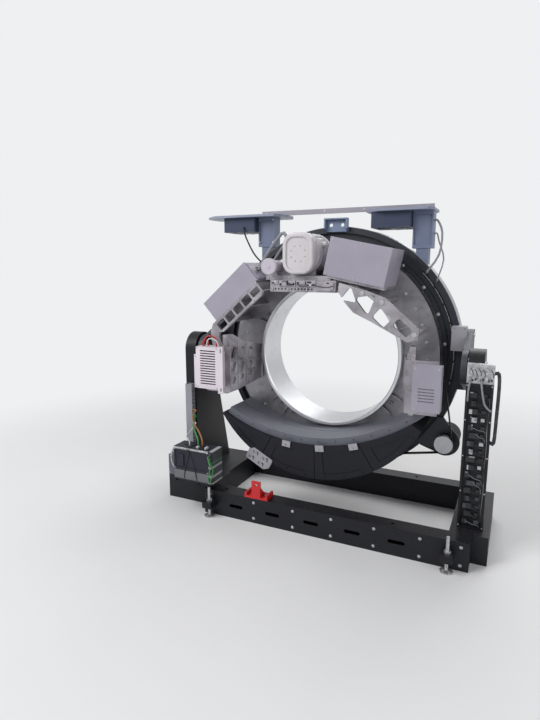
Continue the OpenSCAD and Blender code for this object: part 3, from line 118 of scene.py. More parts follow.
# Node trees


def _math(operation: str, swapped: bool = False) -> Callable[..., "Expr"]:
    """Makes a method of Expr that adds one Math node.

    Args:
        operation: the node's operation.
        swapped: whether the method's value comes first.

    Returns:
        The method.
    """

    def method(self: "Expr", *values: Value) -> "Expr":
        """Adds the node on this expression and the values."""
        inputs = [*values, self] if swapped else [self, *values]
        return self.graph.node("ShaderNodeMath", {"operation": operation}, inputs)

    return method


class Expr:
    """A socket of a node tree that Python's operators work on."""

    __add__ = __radd__ = _math("ADD")
    __sub__ = _math("SUBTRACT")
    __rsub__ = _math("SUBTRACT", swapped=True)
    __mul__ = __rmul__ = _math("MULTIPLY")
    __truediv__ = _math("DIVIDE")
    __rtruediv__ = _math("DIVIDE", swapped=True)
    __pow__ = _math("POWER")
    __rpow__ = _math("POWER", swapped=True)
    __abs__ = _math("ABSOLUTE")
    at_least = _math("MAXIMUM")
    floor = _math("FLOOR")
    fraction = _math("FRACT")
    wave = _math("SINE")

    def __init__(self, graph: "Graph", socket: bpy.types.NodeSocket) -> None:
        """Keeps the socket and the graph that it belongs to."""
        self.graph = graph
        self.socket = socket

    def other(self, output: Union[str, int]) -> "Expr":
        """Gives another output of the same node."""
        return Expr(self.graph, self.socket.node.outputs[output])

    def rise(self, low: float, high: float) -> "Expr":
        """Rises smoothly from 0 at one value to 1 at another.

        Args:
            low: where it is 0.
            high: where it is 1; it may be below the first.

        Returns:
            The smooth step.
        """
        if low > high:
            return 1 - self.rise(high, low)
        step = {"interpolation_type": "SMOOTHSTEP"}
        return self.graph.node("ShaderNodeMapRange", step, [self, low, high, 0.0, 1.0])


class Graph:
    """A node tree that is built with expressions."""

    def __init__(self, tree: bpy.types.NodeTree) -> None:
        """Keeps the tree that the nodes go into."""
        self.tree = tree

    def feed(self, socket: bpy.types.NodeSocket, value: Value) -> None:
        """Links an expression to a socket, or sets a plain value on it.

        Args:
            socket: the input socket.
            value: an expression, a number, a colour, a vector or a word.
        """
        if isinstance(value, Expr):
            self.tree.links.new(value.socket, socket)
        elif socket.type == "RGBA":
            socket.default_value = (*value, 1.0)
        else:
            socket.default_value = value

    def node(
        self,
        kind: str,
        settings: Optional[dict] = None,
        inputs: Union[Sequence, dict, None] = None,
        output: Union[str, int] = 0,
    ) -> Expr:
        """Adds one node: first its settings, then its sockets.

        Args:
            kind: the node's type.
            settings: its properties by name.
            inputs: values by place or by socket name.
            output: the output that the result stands for.

        Returns:
            The output as an expression.
        """
        made = self.tree.nodes.new(kind)
        for name, value in (settings or {}).items():
            setattr(made, name, value)
        pairs = inputs.items() if isinstance(inputs, dict) else enumerate(inputs or [])
        for key, value in pairs:
            self.feed(made.inputs[key], value)
        return Expr(self, made.outputs[output])

    def seen(self, gloss: float = 1.0) -> Expr:
        """Tells what sees the backdrop: the camera, what is behind glass, and gloss.

        Args:
            gloss: the share of 1 that rays of gloss get.

        Returns:
            1 for rays of the camera and through glass, and 0 for those that light.
        """
        path = self.node("ShaderNodeLightPath", output="Is Camera Ray")
        shiny = path.other("Is Glossy Ray") * gloss
        return path.at_least(shiny).at_least(path.other("Is Transmission Ray"))


class Surface(Graph):
    """The node tree of one material, with the patterns that the finishes share."""

    def __init__(self, name: str) -> None:
        """Makes an empty material with its Principled shader.

        Args:
            name: the material's name.
        """
        self.material = bpy.data.materials.new(name)
        self.material.use_nodes = True
        super().__init__(self.material.node_tree)
        self.shader = self.tree.nodes["Principled BSDF"]
        self.place = self.node("ShaderNodeTexCoord", output="Object")
        self.xyz = self.node("ShaderNodeSeparateXYZ", inputs=[self.place])

    def axis(self, name: str) -> Expr:
        """Gives the X, Y or Z of the place in the piece."""
        return self.xyz.other(name)

    def up(self) -> Expr:
        """Is 1 on surfaces that look up and 0 on those that don't."""
        normal = self.place.other("Normal")
        return self.node("ShaderNodeSeparateXYZ", inputs=[normal], output="Z").rise(0.25, 0.95)

    def stretched(self, scale: Point) -> Expr:
        """Scales the place along each axis, for a pattern that is drawn out."""
        return self.node("ShaderNodeMapping", inputs={"Vector": self.place, "Scale": scale})

    def noise(
        self, scale: float, detail: float = 3.0, at: Optional[Expr] = None, warp: float = 0.0
    ) -> Expr:
        """Adds a soft pattern from 0 to 1 with cells in a metre, finer layers and a bend."""
        inputs = {"Vector": at or self.place, "Scale": scale, "Detail": detail, "Distortion": warp}
        return self.node("ShaderNodeTexNoise", inputs=inputs)

    def cells(self, scale: float, at: Optional[Expr] = None, output: str = "Distance") -> Expr:
        """Adds a pattern of cells, and gives the distance to the middle of each."""
        inputs = {"Vector": at or self.place, "Scale": scale}
        return self.node("ShaderNodeTexVoronoi", inputs=inputs, output=output)

    def radius(self) -> Expr:
        """Gives the distance from the rotor's axis."""
        dx, dz = self.axis("X") - AXIS[0], self.axis("Z") - AXIS[1]
        return (dx * dx + dz * dz) ** 0.5

    def mix(self, share: Value, first: Value, second: Value) -> Expr:
        """Mixes two colours, by the share that the second has."""
        settings = {"data_type": "RGBA", "clamp_factor": True}
        return self.node("ShaderNodeMix", settings, {0: share, 6: first, 7: second}, output=2)

    def bump(self, height: Expr, depth_mm: float, strength: float = 1.0) -> Expr:
        """Turns a pattern of heights into a bumped normal; a height of 1 is depth_mm."""
        inputs = {"Strength": strength, "Distance": depth_mm * MM, "Height": height}
        return self.node("ShaderNodeBump", inputs=inputs)

    def done(self, **sockets: Value) -> bpy.types.Material:
        """Feeds the Principled shader.

        Args:
            sockets: values by socket name, with _ for a space.

        Returns:
            The material.
        """
        for name, value in sockets.items():
            self.feed(self.shader.inputs[name.replace("_", " ")], value)
        return self.material


# Finishes


class Grain(Enum):
    """The way that the marks of a cutter or a brush run, with fine and broad marks in a metre."""

    ROUND_Y = (900.0, 120.0)
    ALONG_X = (1100.0, 160.0)


@dataclass(frozen=True)
class Finish:
    """A surface finish that solids and trim share."""

    name: str
    tone: Colour

    def build(self, s: Surface) -> bpy.types.Material:
        """Fills the material's tree; each finish has its own."""
        raise NotImplementedError

    def material(self) -> bpy.types.Material:
        """Gives the finish's material, made once."""
        name = self.name + "_finish"
        return bpy.data.materials.get(name) or self.build(Surface(name))

    def shade(self, factor: float) -> Colour:
        """Gives a lighter or darker shade of the tone, as a linear colour."""
        return linear(scaled(self.tone, factor))

    def shades(self, s: Surface, pattern: Expr, low: float, high: float) -> Expr:
        """Runs the tone between a darker and a lighter shade along a pattern."""
        return s.mix(pattern, self.shade(low), self.shade(high))


@dataclass(frozen=True)
class Casting(Finish):
    """Sand-cast aluminium, blasted, with a fine open skin and soft stains."""

    grain_mm: float = 0.16
    stain: float = 0.35
    dust_tone: Colour = (176, 170, 160)

    def build(self, s: Surface) -> bpy.types.Material:
        """Mixes broad stains, a cast skin and small pits, with painted shade in the pits.

        Args:
            s: the material's tree.

        Returns:
            The material.
        """
        broad = s.noise(5.5, 4.0, warp=0.6)
        skin = s.noise(310.0, 3.0)
        lumps = s.noise(48.0, 3.0)
        pits = s.cells(260.0).rise(0.16, 0.05)
        stains = s.noise(11.0, 6.0, warp=1.2).rise(0.50, 0.72)
        colour = self.shades(s, broad.rise(0.3, 0.72), 0.80, 1.06)
        colour = s.mix(stains * self.stain, colour, self.shade(0.52))
        # painted shade: the small pits are painted darker
        colour = s.mix(pits * 0.35, colour, self.shade(0.5))
        settled = s.up() * broad.rise(0.35, 0.8)
        return s.done(
            Base_Color=s.mix(settled * 0.22, colour, linear(self.dust_tone)),
            Metallic=0.72,
            Roughness=0.34 + 0.16 * skin + 0.12 * broad,
            Normal=s.bump(skin * 0.55 + lumps * 0.6 - pits * 0.5, self.grain_mm, 0.8),
        )


@dataclass(frozen=True)
class Machined(Finish):
    """Bare metal with the fine marks of the cutter or the brush."""

    grain: Grain = Grain.ROUND_Y
    rough: float = 0.2
    depth_mm: float = 0.02

    def build(self, s: Surface) -> bpy.types.Material:
        """Draws the marks along the grain, with stains of handling.

        Args:
            s: the material's tree.

        Returns:
            The material.
        """
        if self.grain is Grain.ROUND_Y:
            at = s.node("ShaderNodeCombineXYZ", inputs=[s.radius(), s.axis("Y"), 0.0])
        else:
            at = s.stretched((0.02, 1.0, 1.0))
        marks, broad_marks = (s.noise(scale, 2.0, at=at) for scale in self.grain.value)
        handled = s.noise(14.0, 5.0, warp=0.8)
        colour = self.shades(s, marks * 0.5 + broad_marks * 0.5, 0.88, 1.06)
        return s.done(
            Base_Color=s.mix(handled.rise(0.55, 0.8) * 0.25, colour, self.shade(0.72)),
            Metallic=1.0,
            Roughness=self.rough + 0.10 * marks + 0.16 * handled.rise(0.45, 0.85),
            Normal=s.bump(marks + broad_marks, self.depth_mm, 0.6),
        )


@dataclass(frozen=True)
class Paint(Finish):
    """Powder coat on steel: orange peel, dust on what looks up, rubs and small chips."""

    rough: float = 0.36
    dust: float = 0.14
    chips: float = 0.2
    peel_mm: float = 0.05
    shine: float = 0.5
    dust_tone: Colour = (168, 162, 152)
    bare_tone: Colour = (150, 148, 146)

    def build(self, s: Surface) -> bpy.types.Material:
        """Mixes the coat's peel, dust, rubs and chips.

        Args:
            s: the material's tree.

        Returns:
            The material.
        """
        peel = s.noise(420.0, 2.0)
        broad = s.noise(4.2, 4.0, warp=0.5)
        fine = s.noise(95.0, 5.0)
        rubs = s.noise(70.0, 3.0, at=s.stretched((1.0, 0.6, 0.12))).rise(0.62, 0.74)
        rubs = rubs * broad.rise(0.42, 0.7)
        chipped = s.cells(31.0, at=s.stretched((1.0, 1.0, 1.4))).rise(0.075, 0.05)
        chipped = chipped * fine.rise(0.5, 0.66)
        settled = (s.up() * 0.8 + 0.2) * fine.rise(0.34, 0.78) * broad.rise(0.2, 0.75)
        colour = self.shades(s, broad, 0.92, 1.07)
        colour = s.mix(rubs * 0.28, colour, self.shade(1.35))
        colour = s.mix(settled * self.dust, colour, linear(self.dust_tone))
        return s.done(
            Base_Color=s.mix(chipped * self.chips, colour, linear(self.bare_tone)),
            Metallic=chipped * (0.7 * self.chips),
            Specular_IOR_Level=self.shine,
            Roughness=self.rough + 0.10 * broad + 0.22 * settled - 0.06 * rubs,
            Normal=s.bump(peel * 0.8 + fine * 0.25 - chipped * 0.9, self.peel_mm, 0.7),
        )


@dataclass(frozen=True)
class Enamel(Finish):
    """Smooth pale enamel with a shallow gloss, yellowed and finger-marked in places."""

    aged_tone: Colour = (206, 200, 192)
    grime_tone: Colour = (140, 134, 126)

    def build(self, s: Surface) -> bpy.types.Material:
        """Mixes a soft yellowing, grime and light finger marks.

        Args:
            s: the material's tree.

        Returns:
            The material.
        """
        broad = s.noise(7.0, 4.0, warp=0.7)
        grime = s.noise(34.0, 6.0, warp=0.5).rise(0.58, 0.82)
        runs = s.noise(60.0, 3.0, at=s.stretched((1.0, 1.0, 0.16))).rise(0.6, 0.78)
        colour = self.shades(s, broad, 0.95, 1.03)
        colour = s.mix(broad.rise(0.5, 0.8) * 0.2, colour, linear(self.aged_tone))
        return s.done(
            Base_Color=s.mix(grime * 0.22 + runs * 0.08, colour, linear(self.grime_tone)),
            Roughness=0.30 + 0.16 * grime + 0.10 * broad,
            Coat_Weight=0.25 - 0.2 * grime,
            Normal=s.bump(s.noise(210.0, 2.0) + 0.3 * s.noise(30.0, 2.0), 0.05, 0.6),
        )


@dataclass(frozen=True)
class Moulded(Finish):
    """Moulded or etched plastic with a spark-eroded grain."""

    rough: float = 0.48
    dust: float = 0.25
    dust_tone: Colour = (160, 155, 148)

    def build(self, s: Surface) -> bpy.types.Material:
        """Mixes a fine grain with dust and slight clouding.

        Args:
            s: the material's tree.

        Returns:
            The material.
        """
        grain = s.noise(1300.0, 2.0)
        cloud = s.noise(9.0, 4.0)
        fine = s.noise(120.0, 5.0)
        settled = (s.up() * 0.75 + 0.25) * fine.rise(0.4, 0.8) * cloud.rise(0.25, 0.8)
        colour = self.shades(s, cloud, 0.93, 1.07)
        return s.done(
            Base_Color=s.mix(settled * self.dust, colour, linear(self.dust_tone)),
            Specular_IOR_Level=0.3,
            Roughness=self.rough + 0.12 * grain + 0.18 * settled,
            Normal=s.bump(grain + 0.4 * fine, 0.04, 0.7),
        )


@dataclass(frozen=True)
class Zinc(Finish):
    """Zinc-plated or galvanised sheet with a faint spangle."""

    spangle: float = 400.0
    rough: float = 0.28
    bloom_tone: Colour = (188, 186, 182)

    def build(self, s: Surface) -> bpy.types.Material:
        """Tints each crystal a little, with white bloom in places.

        Args:
            s: the material's tree.

        Returns:
            The material.
        """
        cell = s.cells(self.spangle, output="Color")
        crystal = s.node("ShaderNodeSeparateColor", inputs=[cell])
        bloom = s.noise(26.0, 6.0, warp=0.8).rise(0.56, 0.8)
        colour = self.shades(s, crystal, 0.88, 1.08)
        return s.done(
            Base_Color=s.mix(bloom * 0.3, colour, linear(self.bloom_tone)),
            Metallic=0.85 - 0.35 * bloom,
            Roughness=self.rough + 0.14 * crystal + 0.2 * bloom,
            Normal=s.bump(s.noise(500.0, 2.0) + 0.5 * crystal, 0.02, 0.6),
        )


@dataclass(frozen=True)
class Rubber(Finish):
    """Dull rubber or cable jacket, dusty on top."""

    rough: float = 0.5
    dust: float = 0.2
    dust_tone: Colour = (150, 146, 140)

    def build(self, s: Surface) -> bpy.types.Material:
        """Mixes a soft bloom with dust.

        Args:
            s: the material's tree.

        Returns:
            The material.
        """
        bloom = s.noise(40.0, 5.0)
        dusty = bloom.rise(0.45, 0.8) * self.dust
        return s.done(
            Base_Color=s.mix(dusty, self.shades(s, bloom, 0.88, 1.12), linear(self.dust_tone)),
            Roughness=self.rough + 0.14 * bloom,
            Normal=s.bump(s.noise(800.0, 2.0) + 0.5 * bloom, 0.03, 0.6),
        )


@dataclass(frozen=True)
class TrackRing(Finish):
    """Resin disc of the slip ring with its contact tracks, which run by radius."""

    first: float = 0.457
    pitch: float = 0.0188
    weave: float = 1500.0
    worn_tone: Colour = (176, 150, 112)
    bright_tone: Colour = (214, 190, 150)

    def build(self, s: Surface) -> bpy.types.Material:
        """Lays bright worn tracks on woven resin.

        Args:
            s: the material's tree.

        Returns:
            The material.
        """
        place = (s.radius() - self.first) / self.pitch
        track = abs(place.fraction() - 0.5).rise(0.34, 0.30)
        ring = s.node("ShaderNodeCombineXYZ", inputs=[s.radius(), 0.0, 0.0])
        worn = s.noise(2600.0, 2.0, at=ring)
        weave = (s.axis("X") * self.weave).wave() * (s.axis("Z") * self.weave).wave()
        resin = self.shades(s, weave * 0.3 + s.noise(8.0, 4.0) * 0.7, 0.85, 1.1)
        metal = s.mix(worn, linear(self.worn_tone), linear(self.bright_tone))
        return s.done(
            Base_Color=s.mix(track, resin, metal),
            Metallic=track * 0.95,
            Roughness=0.44 - 0.2 * track + 0.1 * worn,
            Normal=s.bump(worn * 0.5 + weave * 0.2, 0.03, 0.5),
        )


@dataclass(frozen=True)
class Fins(Finish):
    """Thin folded fins of a cooler core, with painted shade between the fins and painted light on
    them.
    """

    pitch_mm: float = 2.6
    dust_tone: Colour = (150, 144, 136)

    def build(self, s: Surface) -> bpy.types.Material:
        """Draws fine upright fins with painted shade between them, painted light on them and
        patches of dust.

        Args:
            s: the material's tree.

        Returns:
            The material.
        """
        fin_relief_and_shade = (s.axis("X") * (2000 * math.pi / self.pitch_mm)).wave() * 0.5 + 0.5
        dust = s.noise(60.0, 5.0).rise(0.45, 0.75)
        # painted shade between the fins and painted light on them: the tone runs from 0.45 to 1.25
        # across each fin; the same pattern also drives the bump
        colour = self.shades(s, fin_relief_and_shade, 0.45, 1.25)
        return s.done(
            Base_Color=s.mix(dust * 0.3, colour, linear(self.dust_tone)),
            Metallic=0.7 - 0.5 * dust,
            Roughness=0.42 + 0.25 * dust,
            Normal=s.bump(fin_relief_and_shade, 0.5, 0.8),
        )


@dataclass(frozen=True)
class BlockRow(Finish):
    """Plastic terminal blocks whose colour changes from block to block."""

    accent: Colour
    second: Colour
    share: float
    pitch_mm: float = 42.0
    columns: float = 28.0
    slot_shade_tone: Colour = (38, 38, 40)

    def build(self, s: Surface) -> bpy.types.Material:
        """Gives each block its own colour, with moulded slot grooves across it that are darkened
        as painted shade.

        Args:
            s: the material's tree.

        Returns:
            The material.
        """
        row = (s.axis("Z") * (1000.0 / self.pitch_mm)).floor()
        column = (s.axis("X") * self.columns).floor()
        spot = s.node("ShaderNodeCombineXYZ", inputs=[row, column, 0.0])
        chance = s.node("ShaderNodeTexWhiteNoise", {"noise_dimensions": "3D"}, {"Vector": spot})
        grain = s.noise(900.0, 2.0)
        # painted shade: the slot grooves are painted near-black as the shade in them; the same
        # mask also sinks them in the bump
        slot_dip_and_shade = (s.axis("Z") * 1130.0).wave().rise(0.35, 0.6)
        colour = self.shades(s, s.noise(30.0, 4.0), 0.9, 1.06)
        colour = s.mix(chance.rise(1 - self.share, 1.01 - self.share), colour, linear(self.accent))
        colour = s.mix(chance.rise(0.16, 0.15), colour, linear(self.second))
        return s.done(
            Base_Color=s.mix(slot_dip_and_shade * 0.55, colour, linear(self.slot_shade_tone)),
            Roughness=0.42 + 0.12 * grain,
            Normal=s.bump(grain * 0.3 - slot_dip_and_shade, 0.4, 0.8),
        )


BLACK_PAINT = Paint("black_paint", (25, 26, 32), dust=0.10, chips=0.5, shine=0.3)
COLUMN_PAINT = Paint("column_paint", (21, 22, 28), dust=0.07, chips=0.35, shine=0.3)
RING_PAINT = Paint("ring_paint", (42, 45, 55), rough=0.38, dust=0.10, shine=0.4)
ARM_PAINT = Paint("arm_paint", (58, 61, 70), rough=0.42, dust=0.12, chips=0.3)
RED_PAINT = Paint("red_paint", (204, 32, 34), rough=0.34, dust=0.06, chips=0.35)
TANK_PAINT = Paint(
    "tank_paint", (160, 155, 170), rough=0.34, dust=0.16, chips=0.12, peel_mm=0.035
)
TRAY_PAINT = Paint("tray_paint", (142, 150, 170), rough=0.38)
POST_PAINT = Paint("post_paint", (110, 120, 146), dust=0.08, chips=0.25)
BRACKET_PAINT = Paint("bracket_paint", (122, 138, 166), rough=0.40, dust=0.12)
BAR_METAL = Paint("bar_paint", (156, 152, 164), chips=0.15)
PANEL_PAINT = Paint("panel_box_paint", (94, 96, 108), rough=0.40, dust=0.10, chips=0.3)
EXCHANGER_PAINT = Paint("exchanger_paint", (224, 214, 224), rough=0.38, chips=0.18, peel_mm=0.06)
INVERTER_PAINT = Paint("inverter_paint", (156, 152, 166), dust=0.16, chips=0.12)
RING_BOX_PAINT = Paint("ring_box_paint", (168, 166, 174), rough=0.38, chips=0.12)
MOTOR_COAT = Paint("motor_coat", (58, 61, 66), rough=0.46, dust=0.22, chips=0.25)
COVER_COAT = Paint("cover_coat", (26, 27, 35), rough=0.38, dust=0.06, peel_mm=0.08, shine=0.25)
DETECTOR_COAT = Paint("detector_coat", (100, 103, 113), rough=0.30, dust=0.08, chips=0.12)
TUBE_ENAMEL = Enamel("tube_enamel", (208, 204, 208))
PUMP_ENAMEL = Enamel("pump_enamel", (196, 190, 202))
CASTING = Casting("casting", (178, 174, 181))
WALL_CASTING = Casting("wall_casting", (172, 168, 175), stain=0.45)
DISC_CASTING = Casting("disc_casting", (158, 156, 162), grain_mm=0.10, stain=0.30)
COLLIMATOR_METAL = Casting("collimator_metal", (162, 157, 164), grain_mm=0.07, stain=0.5)
POLISHED = Machined("polished_rim", (214, 215, 219), rough=0.26, depth_mm=0.0006)
TURNED = Machined("turned_steel", (176, 178, 182), rough=0.24)
BAND_STEEL = Machined("band_steel", (168, 170, 174), rough=0.28)
PIN_STEEL = Machined("pin_steel", (170, 172, 176), Grain.ALONG_X, rough=0.25)
SINK_METAL = Machined("sink_metal", (128, 129, 132), Grain.ALONG_X, rough=0.34)
FITTING_METAL = Machined("fitting_metal", (176, 174, 182), Grain.ALONG_X, rough=0.32)
FOOT_ZINC = Zinc("foot_zinc", (196, 196, 198), spangle=240.0, rough=0.24)
BOX_ZINC = Zinc("box_zinc", (180, 181, 184), spangle=70.0, rough=0.34)
SCREW_ZINC = Zinc("screw_zinc", (186, 186, 190))
BLACK_SCREW = Zinc("black_screw", (48, 48, 52), rough=0.40)
DRIVE_PLASTIC = Moulded("drive_plastic", (42, 44, 54), dust=0.10)
FAN_PLASTIC = Moulded("fan_plastic", (60, 68, 90), rough=0.42, dust=0.06)
BLADE_PLASTIC = Moulded("blade_plastic", (44, 45, 50), rough=0.42)
DUCT_PLASTIC = Moulded("duct_plastic", (150, 152, 160), rough=0.50)
SLIP_RING = TrackRing("slip_ring", (150, 116, 70))
CORE_FINS = Fins("core_fins", (92, 94, 98))
TERMINAL_BLOCKS = BlockRow(
    "terminal_blocks", (34, 35, 40), accent=(198, 199, 204), second=(70, 72, 80), share=0.14
)
CONNECTOR_BLOCKS = BlockRow(
    "connector_blocks",
    (64, 68, 72),
    accent=(176, 178, 182),
    second=(64, 108, 84),
    share=0.34,
    pitch_mm=14.4,
)
BELT_RUBBER = Rubber("belt_rubber", (34, 34, 37), rough=0.62)
BLACK_JACKET = Rubber("black_jacket", (38, 38, 41), rough=0.62)
WHITE_JACKET = Rubber("white_jacket", (206, 206, 208), dust=0.12)
GREY_JACKET = Rubber("grey_jacket", (136, 138, 144))
BROWN_JACKET = Rubber("brown_jacket", (150, 102, 58))
GREEN_JACKET = Rubber("green_jacket", (56, 138, 70))
RED_JACKET = Rubber("red_jacket", (176, 54, 52))


# Meshes


def smooth_path(route: Sequence[Vector], steps: int) -> list[Vector]:
    """Fills in a smooth curve through the points of a route.

    Args:
        route: the points.
        steps: number of pieces between two of them.

    Returns:
        The points of the curve.
    """
    ends = [2 * route[0] - route[1], *route, 2 * route[-1] - route[-2]]
    path: list[Vector] = []
    for i in range(1, len(ends) - 2):
        a, b, c, d = ends[i - 1 : i + 3]
        square, cube = 2 * a - 5 * b + 4 * c - d, 3 * b - a - 3 * c + d
        for t in (k / steps for k in range(steps)):
            path.append(0.5 * (2 * b + (c - a) * t + square * t * t + cube * t**3))
    return [*path, route[-1]]


def sleeve(rings: int, sides: int) -> list[Face]:
    """Gives the faces of a closed sleeve through rings of points.

    Args:
        rings: number of rings, one after the other.
        sides: number of points in each.

    Returns:
        The faces between the rings, and the two ends.
    """
    faces: list[Face] = []
    for i, k in product(range(0, (rings - 1) * sides, sides), range(sides)):
        n = (k + 1) % sides
        faces.append((i + k, i + n, i + sides + n, i + sides + k))
    last = (rings - 1) * sides
    return [*faces, tuple(range(sides))[::-1], tuple(range(last, last + sides))]


@dataclass
class MeshData:
    """Points and faces of a mesh, with a finish for each face."""

    points: list[Vector] = field(default_factory=list)
    faces: list[Face] = field(default_factory=list)
    finishes: list[int] = field(default_factory=list)

    def add(self, points: Sequence[Vector], faces: Sequence[Face], finish: int) -> None:
        """Adds a closed shape.

        Args:
            points: its points.
            faces: its faces, by point.
            finish: the place of its finish in the piece's list.
        """
        start = len(self.points)
        self.points.extend(points)
        self.faces.extend(tuple(start + i for i in f) for f in faces)
        self.finishes.extend([finish] * len(faces))

    def tube(
        self,
        route: Sequence[Point],
        radius: float,
        steps: int = 4,
        finish: int = 0,
        sides: int = 6,
    ) -> None:
        """Adds a round tube along a smooth route.

        Args:
            route: points that it passes through.
            radius: radius of the tube.
            steps: number of pieces between two points.
            finish: the place of its finish in the piece's list.
            sides: number of faces round it.
        """
        path = smooth_path([Vector(p) for p in route], steps)
        side = (path[1] - path[0]).orthogonal().normalized()
        points: list[Vector] = []
        for i, here in enumerate(path):
            way = (path[min(i + 1, len(path) - 1)] - path[max(i - 1, 0)]).normalized()
            side = (side - way * side.dot(way)).normalized()
            across = way.cross(side)
            for a in (2 * math.pi * k / sides for k in range(sides)):
                points.append(here + radius * (math.cos(a) * side + math.sin(a) * across))
        self.add(points, sleeve(len(path), sides), finish)

    def slab(
        self,
        low: Point,
        high: Point,
        chamfer: float,
        finish: int = 0,
        place: Optional[Matrix] = None,
    ) -> None:
        """Adds a block whose edges along its front and back are chamfered.

        Args:
            low: lowest corner.
            high: highest corner.
            chamfer: size of the chamfer.
            finish: the place of its finish in the piece's list.
            place: where it is put, when that isn't the gantry's own frame.
        """
        c = min(chamfer, *(0.3 * (h - l) for l, h in zip(low, high)))
        points: list[Vector] = []
        for y, inset in ((low[1], c), (low[1] + c, 0.0), (high[1] - c, 0.0), (high[1], c)):
            x0, x1, z0, z1 = low[0] + inset, high[0] - inset, low[2] + inset, high[2] - inset
            ring = (
                *((x0 + c, z0), (x1 - c, z0), (x1, z0 + c), (x1, z1 - c)),
                *((x1 - c, z1), (x0 + c, z1), (x0, z1 - c), (x0, z0 + c)),
            )
            points += [Vector((x, y, z)) for x, z in ring]
        if place is not None:
            points = [place @ p for p in points]
        self.add(points, [f[::-1] for f in sleeve(4, len(ring))], finish)

    def piece(
        self, name: str, finishes: Sequence[Finish], smooth: bool = False
    ) -> bpy.types.Object:
        """Makes the mesh's object at the origin.

        Args:
            name: the object's name.
            finishes: the finishes of its faces.
            smooth: whether its faces are shaded smooth.

        Returns:
            The object.
        """
        mesh = bpy.data.meshes.new(name)
        mesh.from_pydata([tuple(p) for p in self.points], [], self.faces)
        for finish in finishes:
            mesh.materials.append(finish.material())
        mesh.polygons.foreach_set("material_index", self.finishes)
        mesh.polygons.foreach_set("use_smooth", [smooth] * len(mesh.polygons))
        mesh.update()
        return linked(name, mesh)


def linked(name: str, data: bpy.types.ID) -> bpy.types.Object:
    """Makes an object and puts it in the scene.

    Args:
        name: the object's name.
        data: its mesh, lamp or camera.

    Returns:
        The object, at the origin.
    """
    obj = bpy.data.objects.new(name, data)
    bpy.context.scene.collection.objects.link(obj)
    return obj


# Repeated trim


class Head(Enum):
    """Kinds of screw head, with the number of sides and the share of its height cut in."""

    HEXAGON = (6, 0.06)
    SOCKET = (12, -0.55)


@dataclass(frozen=True)
class Spot:
    """Where one screw sits and the way that its head faces."""

    place: Point
    facing: Point = FRONT


def spots(
    xs: Sequence[float], ys: Sequence[float], zs: Sequence[float], facing: Point = FRONT
) -> list[Spot]:
    """Gives a spot at every crossing of a grid.

    Args:
        xs: places along X.
        ys: places along Y.
        zs: places along Z.
        facing: the way that they all face.

    Returns:
        The spots.
    """
    return [Spot(place, facing) for place in product(xs, ys, zs)]


def rotor_spots(angle: float, us: Sequence[float], ts: Sequence[float], y: float) -> list[Spot]:
    """Gives a spot at every crossing of a grid that leans by an angle, as in on_rotor."""
    return [Spot(on_rotor(angle, u, t, y)) for u, t in product(us, ts)]


class Scatter(Graph):
    """A Geometry Nodes tree that is run once and made a plain mesh."""

    def __init__(self, name: str, sizes: dict[str, float]) -> None:
        """Makes a tree with a geometry input and one named input for each size.

        Args:
            name: name of the tree and of the piece that it makes.
            sizes: the named sizes.
        """
        tree = bpy.data.node_groups.new(name, "GeometryNodeTree")
        super().__init__(tree)
        self.name = name
        self.sizes = sizes
        for way in ("INPUT", "OUTPUT"):
            tree.interface.new_socket("Geometry", in_out=way, socket_type="NodeSocketGeometry")
        for size in sizes:
            tree.interface.new_socket(size, in_out="INPUT", socket_type="NodeSocketFloat")
        self.source = self.node("NodeGroupInput")

    def geo(self, kind: str, **inputs: Value) -> Expr:
        """Adds a geometry node; _ in the name of a socket stands for a space."""
        named = {name.replace("_", " "): value for name, value in inputs.items()}
        return self.node("GeometryNode" + kind, inputs=named)

    def size(self, name: str) -> Expr:
        """Gives one of the named sizes."""
        return self.source.other(name)

    def raised(self, shape: Expr, height: Expr) -> Expr:
        """Moves a geometry up."""
        lift = self.node("ShaderNodeCombineXYZ", inputs=[0.0, 0.0, height])
        return self.geo("Transform", Geometry=shape, Translation=lift)

    def join(self, *parts: Expr) -> Expr:
        """Joins several geometries.

        Args:
            parts: the geometries.

        Returns:
            All of them as one.
        """
        joined = self.node("GeometryNodeJoinGeometry")
        for part in parts:
            self.tree.links.new(part.socket, joined.socket.node.inputs[0])
        return joined

    def run(self, shape: Expr, finish: Finish, points: Sequence[Spot]) -> bpy.types.Object:
        """Puts the shape at every spot, runs the tree and keeps the result as a mesh.

        Args:
            shape: the geometry that is repeated.
            finish: the finish of every face.
            points: where it goes, each with the way it faces.

        Returns:
            The piece.
        """
        named = self.node(
            "GeometryNodeInputNamedAttribute", {"data_type": "FLOAT_VECTOR"}, {"Name": "facing"}
        )
        turned = self.node("FunctionNodeAlignRotationToVector", {"axis": "Z"}, {"Vector": named})
        placed = self.geo("InstanceOnPoints", Points=self.source, Instance=shape, Rotation=turned)
        real = self.geo("RealizeInstances", Geometry=placed)
        done = self.geo("SetMaterial", Geometry=real, Material=finish.material())
        end = self.tree.nodes.new("NodeGroupOutput")
        self.tree.links.new(done.socket, end.inputs[0])
        mesh = bpy.data.meshes.new(self.name + "_points")
        mesh.from_pydata([p.place for p in points], [], [])
        facing = mesh.attributes.new("facing", "FLOAT_VECTOR", "POINT")
        facing.data.foreach_set("vector", [c for p in points for c in p.facing])
        carrier = linked(self.name + "_points", mesh)
        modifier = carrier.modifiers.new("shape", "NODES")
        modifier.node_group = self.tree
        for item in self.tree.interface.items_tree:
            if item.in_out == "INPUT" and item.name in self.sizes:
                modifier[item.identifier] = float(self.sizes[item.name])
        graph = bpy.context.evaluated_depsgraph_get()
        made = bpy.data.meshes.new_from_object(carrier.evaluated_get(graph))
        bpy.data.objects.remove(carrier)
        made.name = self.name
        if "facing" in made.attributes:
            made.attributes.remove(made.attributes["facing"])
        return linked(self.name, made)


